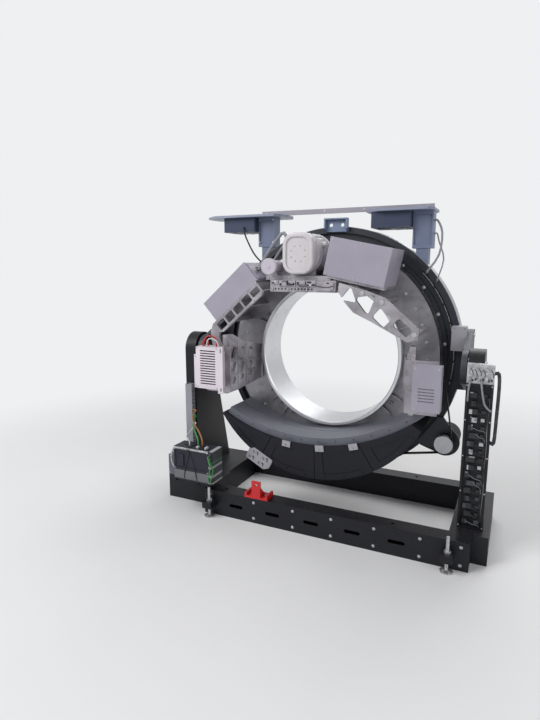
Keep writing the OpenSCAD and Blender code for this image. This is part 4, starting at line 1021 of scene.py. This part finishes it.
@dataclass(frozen=True)
class Screws:
    """A set of like screw heads, each on its washer."""

    name: str
    radius_mm: float
    height_mm: float
    head: Head = Head.SOCKET
    finish: Finish = SCREW_ZINC

    def build(self, points: Sequence[Spot]) -> bpy.types.Object:
        """Puts a head at every spot, with its socket or its hexagon cut in.

        Args:
            points: where the heads sit.

        Returns:
            The piece with all of them.
        """
        sizes = {"Radius": self.radius_mm * MM, "Height": self.height_mm * MM, "Washer": 1.28}
        g = Scatter(self.name, sizes)
        height, radius = g.size("Height"), g.size("Radius")
        washer_h, head_h = height * 0.2, height * 0.8
        wide = radius * g.size("Washer")
        washer = g.geo("MeshCylinder", Vertices=14, Radius=wide, Depth=washer_h)
        sides, depth = self.head.value
        head = g.geo("MeshCylinder", Vertices=sides, Radius=radius, Depth=head_h)
        top = head.other("Top")
        for lift, narrow in ((height * 0.12, 0.84), (0.00001, 0.58)):
            out = g.geo("ExtrudeMesh", Mesh=head, Selection=top, Offset_Scale=lift)
            top = out.other("Top")
            head = g.geo("ScaleElements", Geometry=out, Selection=top, Scale=narrow)
        cut = g.geo("ExtrudeMesh", Mesh=head, Selection=top, Offset_Scale=height * depth)
        both = g.join(g.raised(cut, washer_h + head_h * 0.5), g.raised(washer, washer_h * 0.5))
        return g.run(both, self.finish, points)


@dataclass(frozen=True)
class WireGuard:
    """Round wire guard of a fan: rings that share a middle, and the spokes across them."""

    name: str
    pitch_mm: float = 12.0
    rings: int = 7
    wire_mm: float = 1.1
    spokes: int = 4

    def build(self, middle: Spot) -> bpy.types.Object:
        """Makes the guard round one spot.

        Args:
            middle: the middle of the guard.

        Returns:
            The piece.
        """
        pitch, wire = self.pitch_mm * MM, self.wire_mm * MM
        g = Scatter(self.name, {"Pitch": pitch, "Wire": wire, "Reach": (self.rings + 0.6) * pitch})
        wire_r = g.size("Wire")
        profile = g.geo("CurvePrimitiveCircle", Resolution=6, Radius=wire_r)
        ring = g.geo("CurvePrimitiveCircle", Resolution=40, Radius=1.0)
        line = g.geo("MeshLine", Count=self.rings, Offset=(0.0, 0.0, 0.0))
        size = (g.geo("InputIndex") + 1) * g.size("Pitch")
        rings = g.geo("InstanceOnPoints", Points=line, Instance=ring, Scale=size)
        rings = g.geo("RealizeInstances", Geometry=rings)
        parts = [g.geo("CurveToMesh", Curve=rings, Profile_Curve=profile)]
        spoke = g.geo("MeshCylinder", Vertices=6, Radius=wire_r, Depth=g.size("Reach") * 2)
        lift = (0.0, 0.0, 1.6 * wire)
        for angle in (math.pi * i / self.spokes for i in range(self.spokes)):
            turn = (math.pi / 2, 0.0, angle)
            parts.append(g.geo("Transform", Geometry=spoke, Translation=lift, Rotation=turn))
        return g.run(g.join(*parts), SCREW_ZINC, [middle])


# Sub-assemblies

Looks = tuple[tuple[Finish, str], ...]


@dataclass
class SubAssembly:
    """A part of the gantry that moves as one: each finish with its solids, and the trim."""

    body: str
    looks: Looks = ()

    def trim(self) -> None:
        """Adds the small trim; the pulley and the impellers have none."""

    def dress(self) -> None:
        """Gives every solid its finish, in its material slots."""
        for finish, nodes in self.looks:
            for node in nodes.split():
                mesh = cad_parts[node].data
                mesh.materials.clear()
                mesh.materials.append(finish.material())
                log.info("%s wears %s", node, finish.name)

    def keep(self, piece: bpy.types.Object, slot: str) -> None:
        """Makes a finished piece ride on the body.

        Args:
            piece: the piece.
            slot: not used.
        """
        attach(piece, self.body)
        log.info("piece %s on %s: %d faces", piece.name, self.body, len(piece.data.polygons))

    def fix(self, screws: Screws, points: Sequence[Spot]) -> None:
        """Keeps a set of screws, one at every spot."""
        self.keep(screws.build(points), "plated_steel")

    def cables(
        self, node: str, jackets: Callable[[Vector], Finish], choices: Sequence[Finish]
    ) -> None:
        """Stands smooth cables with their own jackets in for a cable solid.

        Args:
            node: the cable solid, whose mesh is copied.
            jackets: picks a jacket for a cable from the middle of its box.
            choices: every jacket that may be picked.
        """
        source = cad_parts[node].data
        index: dict[Point, int] = {}
        points: list[Vector] = []
        alias: list[int] = []
        for v in source.vertices:
            key = tuple(round(c, 6) for c in v.co)
            if key not in index:
                index[key] = len(points)
                points.append(v.co.copy())
            alias.append(index[key])
        faces = [tuple(alias[i] for i in p.vertices) for p in source.polygons]
        owner = list(range(len(points)))

        def root(i: int) -> int:
            """Finds the first point of the cable that a point is in.

            Args:
                i: the point.

            Returns:
                The cable's first point.
            """
            while owner[i] != i:
                owner[i] = owner[owner[i]]
                i = owner[i]
            return i

        for f in faces:
            for i in f[1:]:
                owner[root(i)] = root(f[0])
        members: dict[int, list[int]] = {}
        for i in range(len(points)):
            members.setdefault(root(i), []).append(i)
        picks: dict[int, int] = {}
        for first, own in members.items():
            low, high = (
                Vector(end(points[i][c] for i in own) for c in range(3)) for end in (min, max)
            )
            picks[first] = list(choices).index(jackets((low + high) / 2))
        data = MeshData(points, faces, [picks[root(f[0])] for f in faces])
        piece = data.piece(node + "_jackets", choices, smooth=True)
        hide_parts(node)
        self.keep(piece, "cable_jacket")


@dataclass
class Base(SubAssembly):
    """Welded base with the two columns and the electrics that stand on it."""

    body: str = "base"
    looks: Looks = (
        (BLACK_PAINT, "front_beam rear_beam plinth_left plinth_right servo_stand"),
        (COLUMN_PAINT, "column_left column_right terminal_panel"),
        (FOOT_ZINC, "levelling_feet"),
        (RED_PAINT, "transport_lock"),
        (SINK_METAL, "servo_heat_sink"),
        (DRIVE_PLASTIC, "servo_drive"),
        (CONNECTOR_BLOCKS, "servo_connectors"),
        (PANEL_PAINT, "junction_box"),
        (DUCT_PLASTIC, "cable_duct"),
        (TERMINAL_BLOCKS, "terminals"),
        (BOX_ZINC, "terminal_box"),
    )
    beam_top: float = 0.155
    beam_y: float = 0.400
    lock_x: float = -0.286
    panel_left: float = 0.820
    panel_w: float = 0.128
    panel_front: float = -0.241
    panel_top: float = 0.930
    panel_rows: int = 17
    drive_x: Pair = (-0.820, -0.571)
    drive_front: float = -0.461
    drive_top: float = 0.420

    def trim(self) -> None:
        """Adds screws, the panel's wires, and the lid and the straps of the drive."""
        self._screws()
        self._panel_wires()
        self._lid()
        self._straps()
        jackets = (BLACK_JACKET, BROWN_JACKET, WHITE_JACKET, GREEN_JACKET, GREY_JACKET)
        self.cables("base_cables", self._jacket, jackets)

    @staticmethod
    def _jacket(middle: Vector) -> Finish:
        """Picks the jacket of a cable from where it is.

        Args:
            middle: the middle of the cable's box.

        Returns:
            The jacket.
        """
        if middle.x > 0.5:
            return BLACK_JACKET if middle.z < 0.84 else GREY_JACKET
        if middle.x > -0.60:
            return GREEN_JACKET
        if middle.z > 0.48:
            return BROWN_JACKET if middle.z > 0.505 else GREEN_JACKET
        return WHITE_JACKET if middle.z > 0.30 else BLACK_JACKET

    def _screws(self) -> None:
        """Puts bolts along the beams, the feet and the boxes."""
        along = (-0.60, -0.30, -0.05, 0.18, 0.42, 0.66, 0.86)
        beams = spots(along, (-self.beam_y,), (0.128, 0.030))
        beams += spots((-0.6, -0.2, 0.2, 0.6, 0.86), (self.beam_y,), (0.12, 0.03), BACK)
        self.fix(Screws("base_bolts", 7.0, 6.0, Head.HEXAGON), beams)
        left, right, front = self.panel_left, self.panel_left + self.panel_w, self.panel_front
        small = spots((-0.970, -0.896), (-0.300,), (0.165, 0.280))
        small += spots((left + 0.006, right - 0.006), (front,), (0.17, 0.36, 0.55, 0.74, 0.92))
        small += spots((left + 0.008, right - 0.008), (front + 0.006,), (0.940, 1.018))
        for z in (0.408, 0.284):
            small += spots((-0.812, -0.579), (self.drive_front,), (z,))
        self.fix(Screws("panel_screws", 3.0, 2.0), small)
        feet = spots((-0.79, -0.68), (-0.28, -0.25), (self.beam_top + 0.006,), UP)
        lugs = (self.lock_x - 0.046, self.lock_x + 0.046)
        feet += spots(lugs, (0.050 - self.beam_y,), (self.beam_top + 0.012,), UP)
        self.fix(Screws("foot_bolts", 8.5, 8.0, Head.HEXAGON), feet)

    def _panel_wires(self) -> None:
        """Leads thin wires from the panel's blocks to a bundle, and over the box on top."""
        data = MeshData()
        black, grey, white, block, metal = range(5)
        y = self.panel_front + 0.002
        pitch = (self.panel_top - self.beam_top - 0.060) / self.panel_rows
        bundle = self.panel_left + 0.106
        for i in range(self.panel_rows):
            x = self.panel_left + 0.036 + 0.009 * (i % 3)
            for k in range(1 + i % 2):
                z = self.beam_top + 0.040 + i * pitch + 0.009 * k
                drop = 0.012 + 0.006 * ((i + 2 * k) % 4)
                lead = (
                    (x + 0.005 * k, y, z),
                    (x + 0.012, y - 0.008, z + 0.003),
                    ((x + bundle) / 2, y - 0.011 - 0.003 * k, z - 0.4 * drop),
                    (bundle - 0.008, y - 0.004, z - 0.8 * drop),
                    (bundle, y + 0.004, z - 2 * drop),
                )
                data.tube(lead, 0.0013, 3, black if (i + k) % 6 else grey)
        for k in range(5):
            x = bundle + 0.0036 * (k - 1)
            strand = [
                (
                    x + 0.002 * math.sin(j * 1.7 + k),
                    y + 0.004 + 0.003 * math.cos(j * 1.3 + 2 * k),
                    0.20 + 0.06 * j,
                )
                for j in range(12)
            ]
            data.tube(strand, 0.0019, 3, grey if k == 3 else black)
        y = self.panel_front + 0.006
        for k in range(6):
            x = self.panel_left + 0.016 + 0.019 * k
            z = self.panel_top + 0.074 - 0.004 * (k % 2)
            lead = (
                (x, y, z),
                (x + 0.001, y - 0.0045, z + 0.002),
                (x + 0.009, y - 0.006, z - 0.010),
                (x + 0.013, y - 0.0045, z - 0.026),
                (x + 0.012, y, z - 0.034),
            )
            data.tube(lead, 0.0016, 3, white if k == 4 else black)
        for k in range(9):
            x = self.panel_left + 0.012 + 0.0125 * k
            z = self.panel_top + 0.008 + 0.004 * (k % 3)
            high = (x + 0.008, y + 0.0004, z + 0.010)
            data.slab((x, y - 0.005, z), high, 0.0006, block if k % 3 else metal)
        finishes = (BLACK_JACKET, GREY_JACKET, WHITE_JACKET, BLADE_PLASTIC, FITTING_METAL)
        self.keep(data.piece("panel_wires", finishes), "cable_jacket")

    def _lid(self) -> None:
        """Edges the top of the servo drive with bright sheet and puts plugs on it."""
        data = MeshData()
        edge, sheet, dark, pale = range(4)
        (x0, x1), y, z = self.drive_x, self.drive_front, self.drive_top
        data.slab((x0, y - 0.0024, z - 0.010), (x1, y + 0.0002, z + 0.0018), 0.0006, edge)
        data.slab((x0, y - 0.0006, z - 0.0002), (x1, -0.346, z + 0.0018), 0.0004, sheet)
        for x, back, w, d, h, finish in (
            (-0.672, -0.418, 0.014, 0.020, 0.012, pale),
            (-0.640, -0.424, 0.018, 0.016, 0.009, dark),
            (-0.612, -0.408, 0.012, 0.030, 0.014, pale),
            (-0.596, -0.440, 0.016, 0.014, 0.008, dark),
            (-0.770, -0.400, 0.022, 0.012, 0.006, dark),
        ):
            data.slab((x, back - d, z + 0.0010), (x + w, back, z + h), 0.0008, finish)
        finishes = (BOX_ZINC, DRIVE_PLASTIC, BLADE_PLASTIC, WHITE_JACKET)
        self.keep(data.piece("drive_lid", finishes), "connector_plastic")

    def _straps(self) -> None:
        """Lays two crossing straps over the top and the front of the servo drive."""
        data = MeshData()
        line = (
            *((-0.352, 0.4225), (-0.450, 0.4225), (-0.4635, 0.416), (-0.4640, 0.350)),
            *((-0.4635, 0.290), (-0.4620, 0.262), (-0.4605, 0.224)),
        )
        first = (-0.700, -0.703, -0.705, -0.722, -0.738, -0.742, -0.748)
        second = (-0.712, -0.716, -0.718, -0.690, -0.668, -0.662, -0.655)
        for xs, rise in ((first, 0.0), (second, 0.002)):
            route = [
                (x, y, z + rise * (i in (3, 4))) for i, (x, (y, z)) in enumerate(zip(xs, line))
            ]
            data.tube(route, 0.0022)
        self.keep(data.piece("drive_strap", (BLACK_JACKET,), smooth=True), "cable_jacket")


@dataclass
class TiltFrame(SubAssembly):
    """Ring that tilts between the columns, its arms, its motor and the top fans."""

    body: str = "tilt_frame"
    looks: Looks = (
        (RING_PAINT, "frame_ring"),
        (BAND_STEEL, "ring_rim_band"),
        (TURNED, "bearing_outer"),
        (ARM_PAINT, "arm_left arm_right motor_bracket"),
        (PIN_STEEL, "trunnions"),
        (MOTOR_COAT, "drive_motor"),
        (BELT_RUBBER, "drive_belt"),
        (POST_PAINT, "fan_posts"),
        (TRAY_PAINT, "fan_tray_left fan_tray_right"),
        (FAN_PLASTIC, "fan_cases"),
        (BAR_METAL, "top_bar"),
        (BRACKET_PAINT, "ring_bracket"),
        (RING_BOX_PAINT, "ring_box"),
    )
    ring_front: float = 0.130
    ring_bolt_r: float = 0.668
    arm_out: float = 0.812
    tray_z: float = 1.815
    tray_t: float = 0.014
    bar_top: float = 1.843
    fan_y: float = 0.205
    fan_xs: Pair = (-0.649, 0.333)
    fan_side: float = 0.230
    fan_h: float = 0.090
    wire_r: float = 0.722

    def trim(self) -> None:
        """Adds the bolts of the ring, the screws of the trays, the guards and the wires."""
        ring = [Spot(around_y(self.ring_bolt_r, 15 * i + 7.5, self.ring_front)) for i in range(24)]
        self.fix(Screws("ring_bolts", 8.0, 7.0), ring)
        heights = (ISO_H - 0.140, ISO_H + 0.140)
        arms: list[Spot] = []
        for side in (-1, 1):
            arms += spots((side * self.arm_out,), (0.158, 0.212), heights, (side, 0.0, 0.0))
        self.fix(Screws("arm_bolts", 11.0, 4.2, Head.HEXAGON), arms)
        top = (self.tray_z + self.tray_t,)
        half = self.fan_side / 2 - 0.014
        trays = spots((-0.515, -0.440, -0.375, 0.470, 0.535), (0.090, 0.320), top, UP)
        for x in self.fan_xs:
            corners = (self.fan_y - half, self.fan_y + half)
            trays += spots((x - half, x + half), corners, top, UP)
        along = (-0.50, -0.44, -0.10, 0.15, 0.47, 0.52)
        trays += spots(along, (self.fan_y - 0.014,), (self.bar_top,))
        trays += spots((-0.520, -0.428), (self.ring_front + 0.006,), (1.66, 1.80))
        self.fix(Screws("tray_screws", 4.5, 3.0), trays)
        below = self.tray_z - self.fan_h - 0.0015
        for side, x in zip(("left", "right"), self.fan_xs):
            guard = WireGuard("fan_guard_" + side).build(Spot((x, self.fan_y, below), DOWN))
            self.keep(guard, "plated_steel")
        self._ring_wires()
        jackets = (BLACK_JACKET, GREY_JACKET)
        self.cables("frame_cables", lambda middle: jackets[middle.x >= 0.5], jackets)

    def _ring_wires(self) -> None:
        """Fixes two wires with clips along the front of the ring, up its right side."""
        data = MeshData()
        angles = range(-12, 47, 4)
        thick = [around_y(self.wire_r, a, 0.1515 + 0.0015 * math.sin(a)) for a in angles]
        data.tube(thick, 0.0032, 3, 0, sides=8)
        thin = [around_y(self.wire_r - 0.0085, a, 0.1508) for a in angles]
        data.tube(thin, 0.0025, 3, 1, sides=8)
        for a in range(-10, 45, 9):
            turn = Matrix.Rotation(-math.radians(a), 4, "Y")
            place = Matrix.Translation((0.0, 0.0, ISO_H)) @ turn
            data.slab((0.706, 0.144, -0.005), (0.7275, 0.156, 0.005), 0.001, 2, place)
        finishes = (BLACK_JACKET, WHITE_JACKET, BLADE_PLASTIC)
        self.keep(data.piece("ring_wires", finishes), "cable_jacket")


@dataclass
class Rotor(SubAssembly):
    """Disc that spins with the tube, the tanks, the detector and their castings."""

    body: str = "rotor"
    looks: Looks = (
        (DISC_CASTING, "rotor_disc"),
        (POLISHED, "bore_rim"),
        (TURNED, "bearing_inner"),
        (SLIP_RING, "slip_ring"),
        (WALL_CASTING, "side_wall_left side_wall_right"),
        (CASTING, "ladder_casting rib_casting tube_bench"),
        (TUBE_ENAMEL, "tube_housing tube_cap"),
        (PUMP_ENAMEL, "rotor_pump"),
        (COLLIMATOR_METAL, "collimator"),
        (TANK_PAINT, "tank_left tank_right"),
        (EXCHANGER_PAINT, "heat_exchanger"),
        (CORE_FINS, "exchanger_core"),
        (INVERTER_PAINT, "inverter_box"),
        (DETECTOR_COAT, "detector"),
        (COVER_COAT, "detector_covers"),
        (FITTING_METAL, "rotor_fittings"),
    )
    disc_front: float = 0.055
    disc_bolt_r: float = 0.580
    cast_front: float = -0.270
    tank_angle: float = 131.5
    box_angle: float = 78.5
    rib_angle: float = 48.5
    tube_axis: Pair = (-0.090, 1.575)
    band_r: float = 0.1162
    cover_front: float = -0.250
    cover_bolt_r: float = 0.684
    wall_front: float = 0.548
    wall_back: float = 0.462
    wall_holes: tuple[Pair, ...] = ((0.040, 0.026), (0.066, 0.026), (0.078, 0.038))
    hole_lean: float = 72.0

    def trim(self) -> None:
        """Adds screws, the walls' relief, the collimator's electronics and the tube's bands."""
        self._screws()
        self._wall_relief()
        self._collimator_blocks()
        self._tube_bands()
        jackets = (GREY_JACKET, WHITE_JACKET, RED_JACKET)
        self.cables(
            "rotor_cables", lambda m: jackets[0 if m.z > 1.3 else 1 if m.x > -0.63 else 2], jackets
        )

    def _screws(self) -> None:
        """Puts the bolts of the disc, the castings, the tanks and the covers."""
        disc = [Spot(around_y(self.disc_bolt_r, i * 10, self.disc_front)) for i in range(36)]
        self.fix(Screws("disc_bolts", 7.5, 7.0), disc)
        front, tank, box = self.cast_front, self.tank_angle, self.box_angle
        rungs = [0.0746 * i for i in range(6)]
        castings = rotor_spots(tank, (0.5525,), [t - 0.0275 for t in rungs], front)
        castings += rotor_spots(tank, (0.4845,), [t + 0.0471 for t in rungs[:4]], front)
        castings += rotor_spots(box, (0.477,), (-0.25, -0.15, -0.05), front + 0.030)
        castings += spots((-0.29, -0.18, 0.0, 0.07), (front + 0.060,), (1.442,))
        self.fix(Screws("casting_screws", 4.2, 4.0), castings)
        bosses = ((0.474, 0.044), (0.512, -0.064), (0.505, -0.300))
        pillars = [Spot(on_rotor(self.rib_angle, u, t, front)) for u, t in bosses]
        self.fix(Screws("pillar_bolts", 11.0, 8.0, Head.HEXAGON), pillars)
        lids = rotor_spots(tank, (0.572, 0.680), (-0.033, 0.135, 0.311), front)
        lids += rotor_spots(box, (0.497, 0.678), (-0.286, -0.131, 0.024), front + 0.006)
        lids += spots((-0.708, -0.571), (-0.348,), (0.782, 1.023))
        lids += spots((0.584, 0.700), (-0.340,), (0.792, 1.003))
        lids += spots((-0.725,), (-0.342,), (0.79, 0.97))
        cap = [around_y(0.044, 45 * i - 20, front + 0.009, self.tube_axis) for i in range(8)]
        self.fix(Screws("lid_screws", 3.6, 2.4), [*lids, *map(Spot, cap)])
        angles = [30 * i + a - 133 for i in range(4) for a in (-10, 0, 10)]
        covers = [Spot(around_y(self.cover_bolt_r, a, self.cover_front)) for a in angles]
        self.fix(Screws("cover_screws", 6.0, 4.0, finish=BLACK_SCREW), covers)

    def _wall_relief(self) -> None:
        """Raises lips round the oval holes of the side walls, and webs between them."""
        data = MeshData()
        lean = math.radians(self.hole_lean)
        turn = math.atan2(self.disc_front - self.cast_front, self.wall_front - self.wall_back)
        webs = (
            *((0.102, -0.206, 0.106, 0.074), (0.176, -0.196, 0.180, 0.048)),
            *((0.026, -0.150, 0.030, 0.092), (0.010, -0.134, 0.262, -0.118)),
            (0.010, -0.045, 0.262, -0.050),
        )
        for hand in (-1, 1):
            corner = Matrix.Translation((hand * self.wall_front, self.cast_front, ISO_H))
            place = corner @ Matrix.Rotation(-hand * turn, 4, "Z")
            for row, (length, width) in enumerate(self.wall_holes):
                for column in range(3):
                    u = 0.066 + 0.074 * column
                    v = -0.168 + 0.084 * row + column * (-0.004 if row else 0.014)
                    long, wide = (length - 0.006 * column - width) / 2, width / 2 + 0.003
                    lip = []
                    for a in (2 * math.pi * k / 24 for k in range(25)):
                        along = math.copysign(long, math.cos(a)) + wide * math.cos(a)
                        across = wide * math.sin(a)
                        x = u + along * math.cos(lean) - across * math.sin(lean)
                        z = v + along * math.sin(lean) + across * math.cos(lean)
                        lip.append(place @ Vector((-hand * x, -0.0005, z)))
                    data.tube(lip, 0.0032, 1)
            for u0, v0, u1, v1 in webs:
                self._web(data, place, (-hand * u0, v0), (-hand * u1, v1))
        self.keep(data.piece("wall_relief", (WALL_CASTING,), smooth=True), "cast_alloy")

    @staticmethod
    def _web(data: MeshData, place: Matrix, start: Pair, end: Pair) -> None:
        """Lays one raised web on a wall.

        Args:
            data: the mesh that it joins.
            place: the frame of the wall's face.
            start: where it starts on the face.
            end: where it ends on the face.
        """
        way = Vector((end[0] - start[0], 0.0, end[1] - start[1]))
        turned = Matrix.Rotation(-math.atan2(way.z, way.x), 4, "Y")
        seat = place @ Matrix.Translation((start[0], 0.0, start[1])) @ turned
        data.slab((0.0, -0.0042, -0.0028), (way.length, 0.0006, 0.0028), 0.0020, 0, seat)

    def _collimator_blocks(self) -> None:
        """Lays plates, blocks, brackets and leads on the front of the collimator."""
        data = MeshData()
        y = self.cast_front + 0.002
        metal, black, white, lead = range(4)
        for x0, x1, z0, z1, depth, chamfer in (
            (-0.246, -0.204, 1.4065, 1.4285, 0.0030, 0.0006),
            (-0.196, -0.150, 1.3975, 1.4255, 0.0110, 0.0010),
            (-0.142, -0.098, 1.3960, 1.4285, 0.0060, 0.0010),
            (-0.090, -0.040, 1.4060, 1.4280, 0.0130, 0.0010),
            (-0.034, 0.022, 1.3960, 1.4285, 0.0040, 0.0006),
            (0.034, 0.118, 1.4090, 1.4220, 0.0080, 0.0010),
        ):
            data.slab((x0, y - depth, z0), (x1, y, z1), chamfer, metal)
        for x, z, w, h, depth, kind in (
            (-0.242, 1.4100, 0.012, 0.008, 0.010, black),
            (-0.226, 1.4180, 0.014, 0.007, 0.009, white),
            (-0.190, 1.4010, 0.010, 0.012, 0.016, black),
            (-0.172, 1.4040, 0.016, 0.016, 0.014, metal),
            (-0.138, 1.4000, 0.012, 0.012, 0.012, black),
            (-0.122, 1.4010, 0.012, 0.010, 0.011, black),
            (-0.138, 1.4170, 0.030, 0.007, 0.009, metal),
            (-0.084, 1.4100, 0.010, 0.010, 0.019, black),
            (-0.066, 1.4100, 0.018, 0.012, 0.017, metal),
            (-0.030, 1.4000, 0.010, 0.008, 0.010, black),
            (-0.014, 1.4000, 0.010, 0.008, 0.010, white),
            (0.002, 1.4000, 0.014, 0.010, 0.012, black),
            (-0.028, 1.4150, 0.022, 0.009, 0.009, black),
            (0.002, 1.4160, 0.016, 0.008, 0.008, metal),
            (0.042, 1.4120, 0.020, 0.007, 0.012, metal),
            (0.086, 1.4120, 0.012, 0.007, 0.012, black),
        ):
            data.slab((x, y - depth, z), (x + w, y - 0.0026, z + h), 0.0006, kind)
        for x in (-0.240, -0.146, -0.094, -0.036, 0.026, 0.124):
            data.slab((x, y - 0.0046, 1.3700), (x + 0.007, y - 0.0002, 1.3900), 0.0008, metal)
        for radius, route in (
            (
                0.0016,
                (
                    *((-0.176, 0.014, 1.418), (-0.164, 0.020, 1.424), (-0.148, 0.018, 1.420)),
                    *((-0.134, 0.012, 1.412), (-0.130, 0.011, 1.406)),
                ),
            ),
            (
                0.0020,
                (
                    *((0.016, 0.012, 1.405), (0.026, 0.018, 1.402), (0.044, 0.016, 1.398)),
                    *((0.070, 0.0125, 1.394), (0.104, 0.0120, 1.396), (0.122, 0.011, 1.402)),
                ),
            ),
            (
                0.0016,
                (
                    *((-0.080, 0.019, 1.414), (-0.074, 0.026, 1.404), (-0.056, 0.022, 1.396)),
                    *((-0.034, 0.012, 1.398), (-0.026, 0.011, 1.402)),
                ),
            ),
        ):
            data.tube([(x, y - out, z) for x, out, z in route], radius, 4, lead)
        finishes = (FITTING_METAL, BLADE_PLASTIC, WHITE_JACKET, BLACK_JACKET)
        self.keep(data.piece("collimator_blocks", finishes), "connector_plastic")

    def _tube_bands(self) -> None:
        """Lays two clamp bands round the tube housing."""
        data = MeshData()
        for middle, offset in product((-0.172, -0.020), (-0.006, -0.002, 0.002, 0.006)):
            y = middle + offset
            route = [around_y(self.band_r, a, y, self.tube_axis) for a in range(-38, 219, 8)]
            data.tube(route, 0.0024, 1)
        self.keep(data.piece("tube_bands", (SCREW_ZINC,), smooth=True), "plated_steel")


# Studio


@dataclass
class Studio:
    """Camera, soft lamps, pale floor and pale surroundings."""

    camera_place: Point = (1.028, -2.959, 1.500)
    camera_turn: Point = (79.9, 0.0, 25.5)
    lens_mm: float = 26.0
    sensor_mm: float = 36.0
    lamps: tuple[tuple[str, Point, float, float], ...] = (
        ("key", (-2.2, -3.2, 4.0), 2.6, 140.0),
        ("fill", (3.8, -2.4, 2.6), 3.0, 45.0),
        ("back", (0.6, 2.6, 3.8), 3.0, 80.0),
    )
    lamp_aim: Point = (0.0, 0.0, 0.9)
    floor_tone: Colour = (240, 240, 241)
    floor_reach: float = 40.0
    backdrop: Colour = (0.86, 0.87, 0.88)
    fade: Pair = (1.2, 4.2)
    ambient: float = 0.32
    gloss: float = 0.72

    def build(self) -> None:
        """Sets up everything that isn't part of the gantry."""
        self._camera()
        self._lamps()
        self._world()
        self._floor()
        bpy.context.scene.view_settings.view_transform = "Standard"

    def _camera(self) -> None:
        """Stands the camera where the photograph was taken from."""
        data = bpy.data.cameras.new("camera")
        data.lens = self.lens_mm
        data.sensor_width = self.sensor_mm
        data.sensor_fit = "AUTO"
        camera = linked("camera", data)
        camera.location = self.camera_place
        camera.rotation_euler = tuple(math.radians(a) for a in self.camera_turn)
        bpy.context.scene.camera = camera

    def _lamps(self) -> None:
        """Hangs three large soft lamps."""
        for name, place, size, power in self.lamps:
            data = bpy.data.lights.new(name, "AREA")
            data.size = size
            data.energy = power
            lamp = linked(name, data)
            lamp.location = place
            way = Vector(self.lamp_aim) - Vector(place)
            lamp.rotation_euler = way.to_track_quat("-Z", "Y").to_euler()

    def _world(self) -> None:
        """Lights the room softly, and shows it pale to the eye and in gloss."""
        world = bpy.data.worlds.new("room")
        world.use_nodes = True
        bpy.context.scene.world = world
        g = Graph(world.node_tree)
        background = world.node_tree.nodes["Background"]
        g.feed(background.inputs["Color"], self.backdrop)
        strength = self.ambient + (1 - self.ambient) * g.seen(self.gloss)
        g.feed(background.inputs["Strength"], strength)

    def _floor(self) -> None:
        """Lays a plain pale floor that keeps the gantry's shadow and fades to the backdrop."""
        r = self.floor_reach
        mesh = bpy.data.meshes.new("floor")
        corners = [(-r, -r, 0.0), (r, -r, 0.0), (r, r, 0.0), (-r, r, 0.0)]
        mesh.from_pydata(corners, [], [(0, 1, 2, 3)])
        s = Surface("floor_paint")
        cloud = s.noise(1.4, 4.0)
        pale, deep = (linear(scaled(self.floor_tone, f)) for f in (0.985, 1.015))
        mesh.materials.append(
            s.done(Base_Color=s.mix(cloud, pale, deep), Roughness=0.62 + 0.08 * cloud)
        )
        x, y = s.axis("X"), s.axis("Y")
        far = ((x * x + y * y) ** 0.5).rise(*self.fade)
        glow = s.node("ShaderNodeEmission", inputs={"Color": self.backdrop, "Strength": 1.0})
        shader = Expr(s, s.shader.outputs[0])
        both = s.node("ShaderNodeMixShader", inputs=[far * s.seen(), shader, glow])
        s.feed(s.tree.nodes["Material Output"].inputs["Surface"], both)
        floor = linked("floor", mesh)


def main() -> None:
    """Builds the studio and every sub-assembly in order."""
    logging.basicConfig(level=logging.INFO, format="%(name)s: %(message)s")
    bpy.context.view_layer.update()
    Studio().build()
    parts = (
        Base(),
        TiltFrame(),
        Rotor(),
        SubAssembly("drive_shaft", ((TURNED, "motor_pulley"),)),
        SubAssembly("fan_left", ((BLADE_PLASTIC, "impeller_left"),)),
        SubAssembly("fan_right", ((BLADE_PLASTIC, "impeller_right"),)),
    )
    for part in parts:
        part.dress()
        part.trim()


if __name__ == "__main__":
    main()
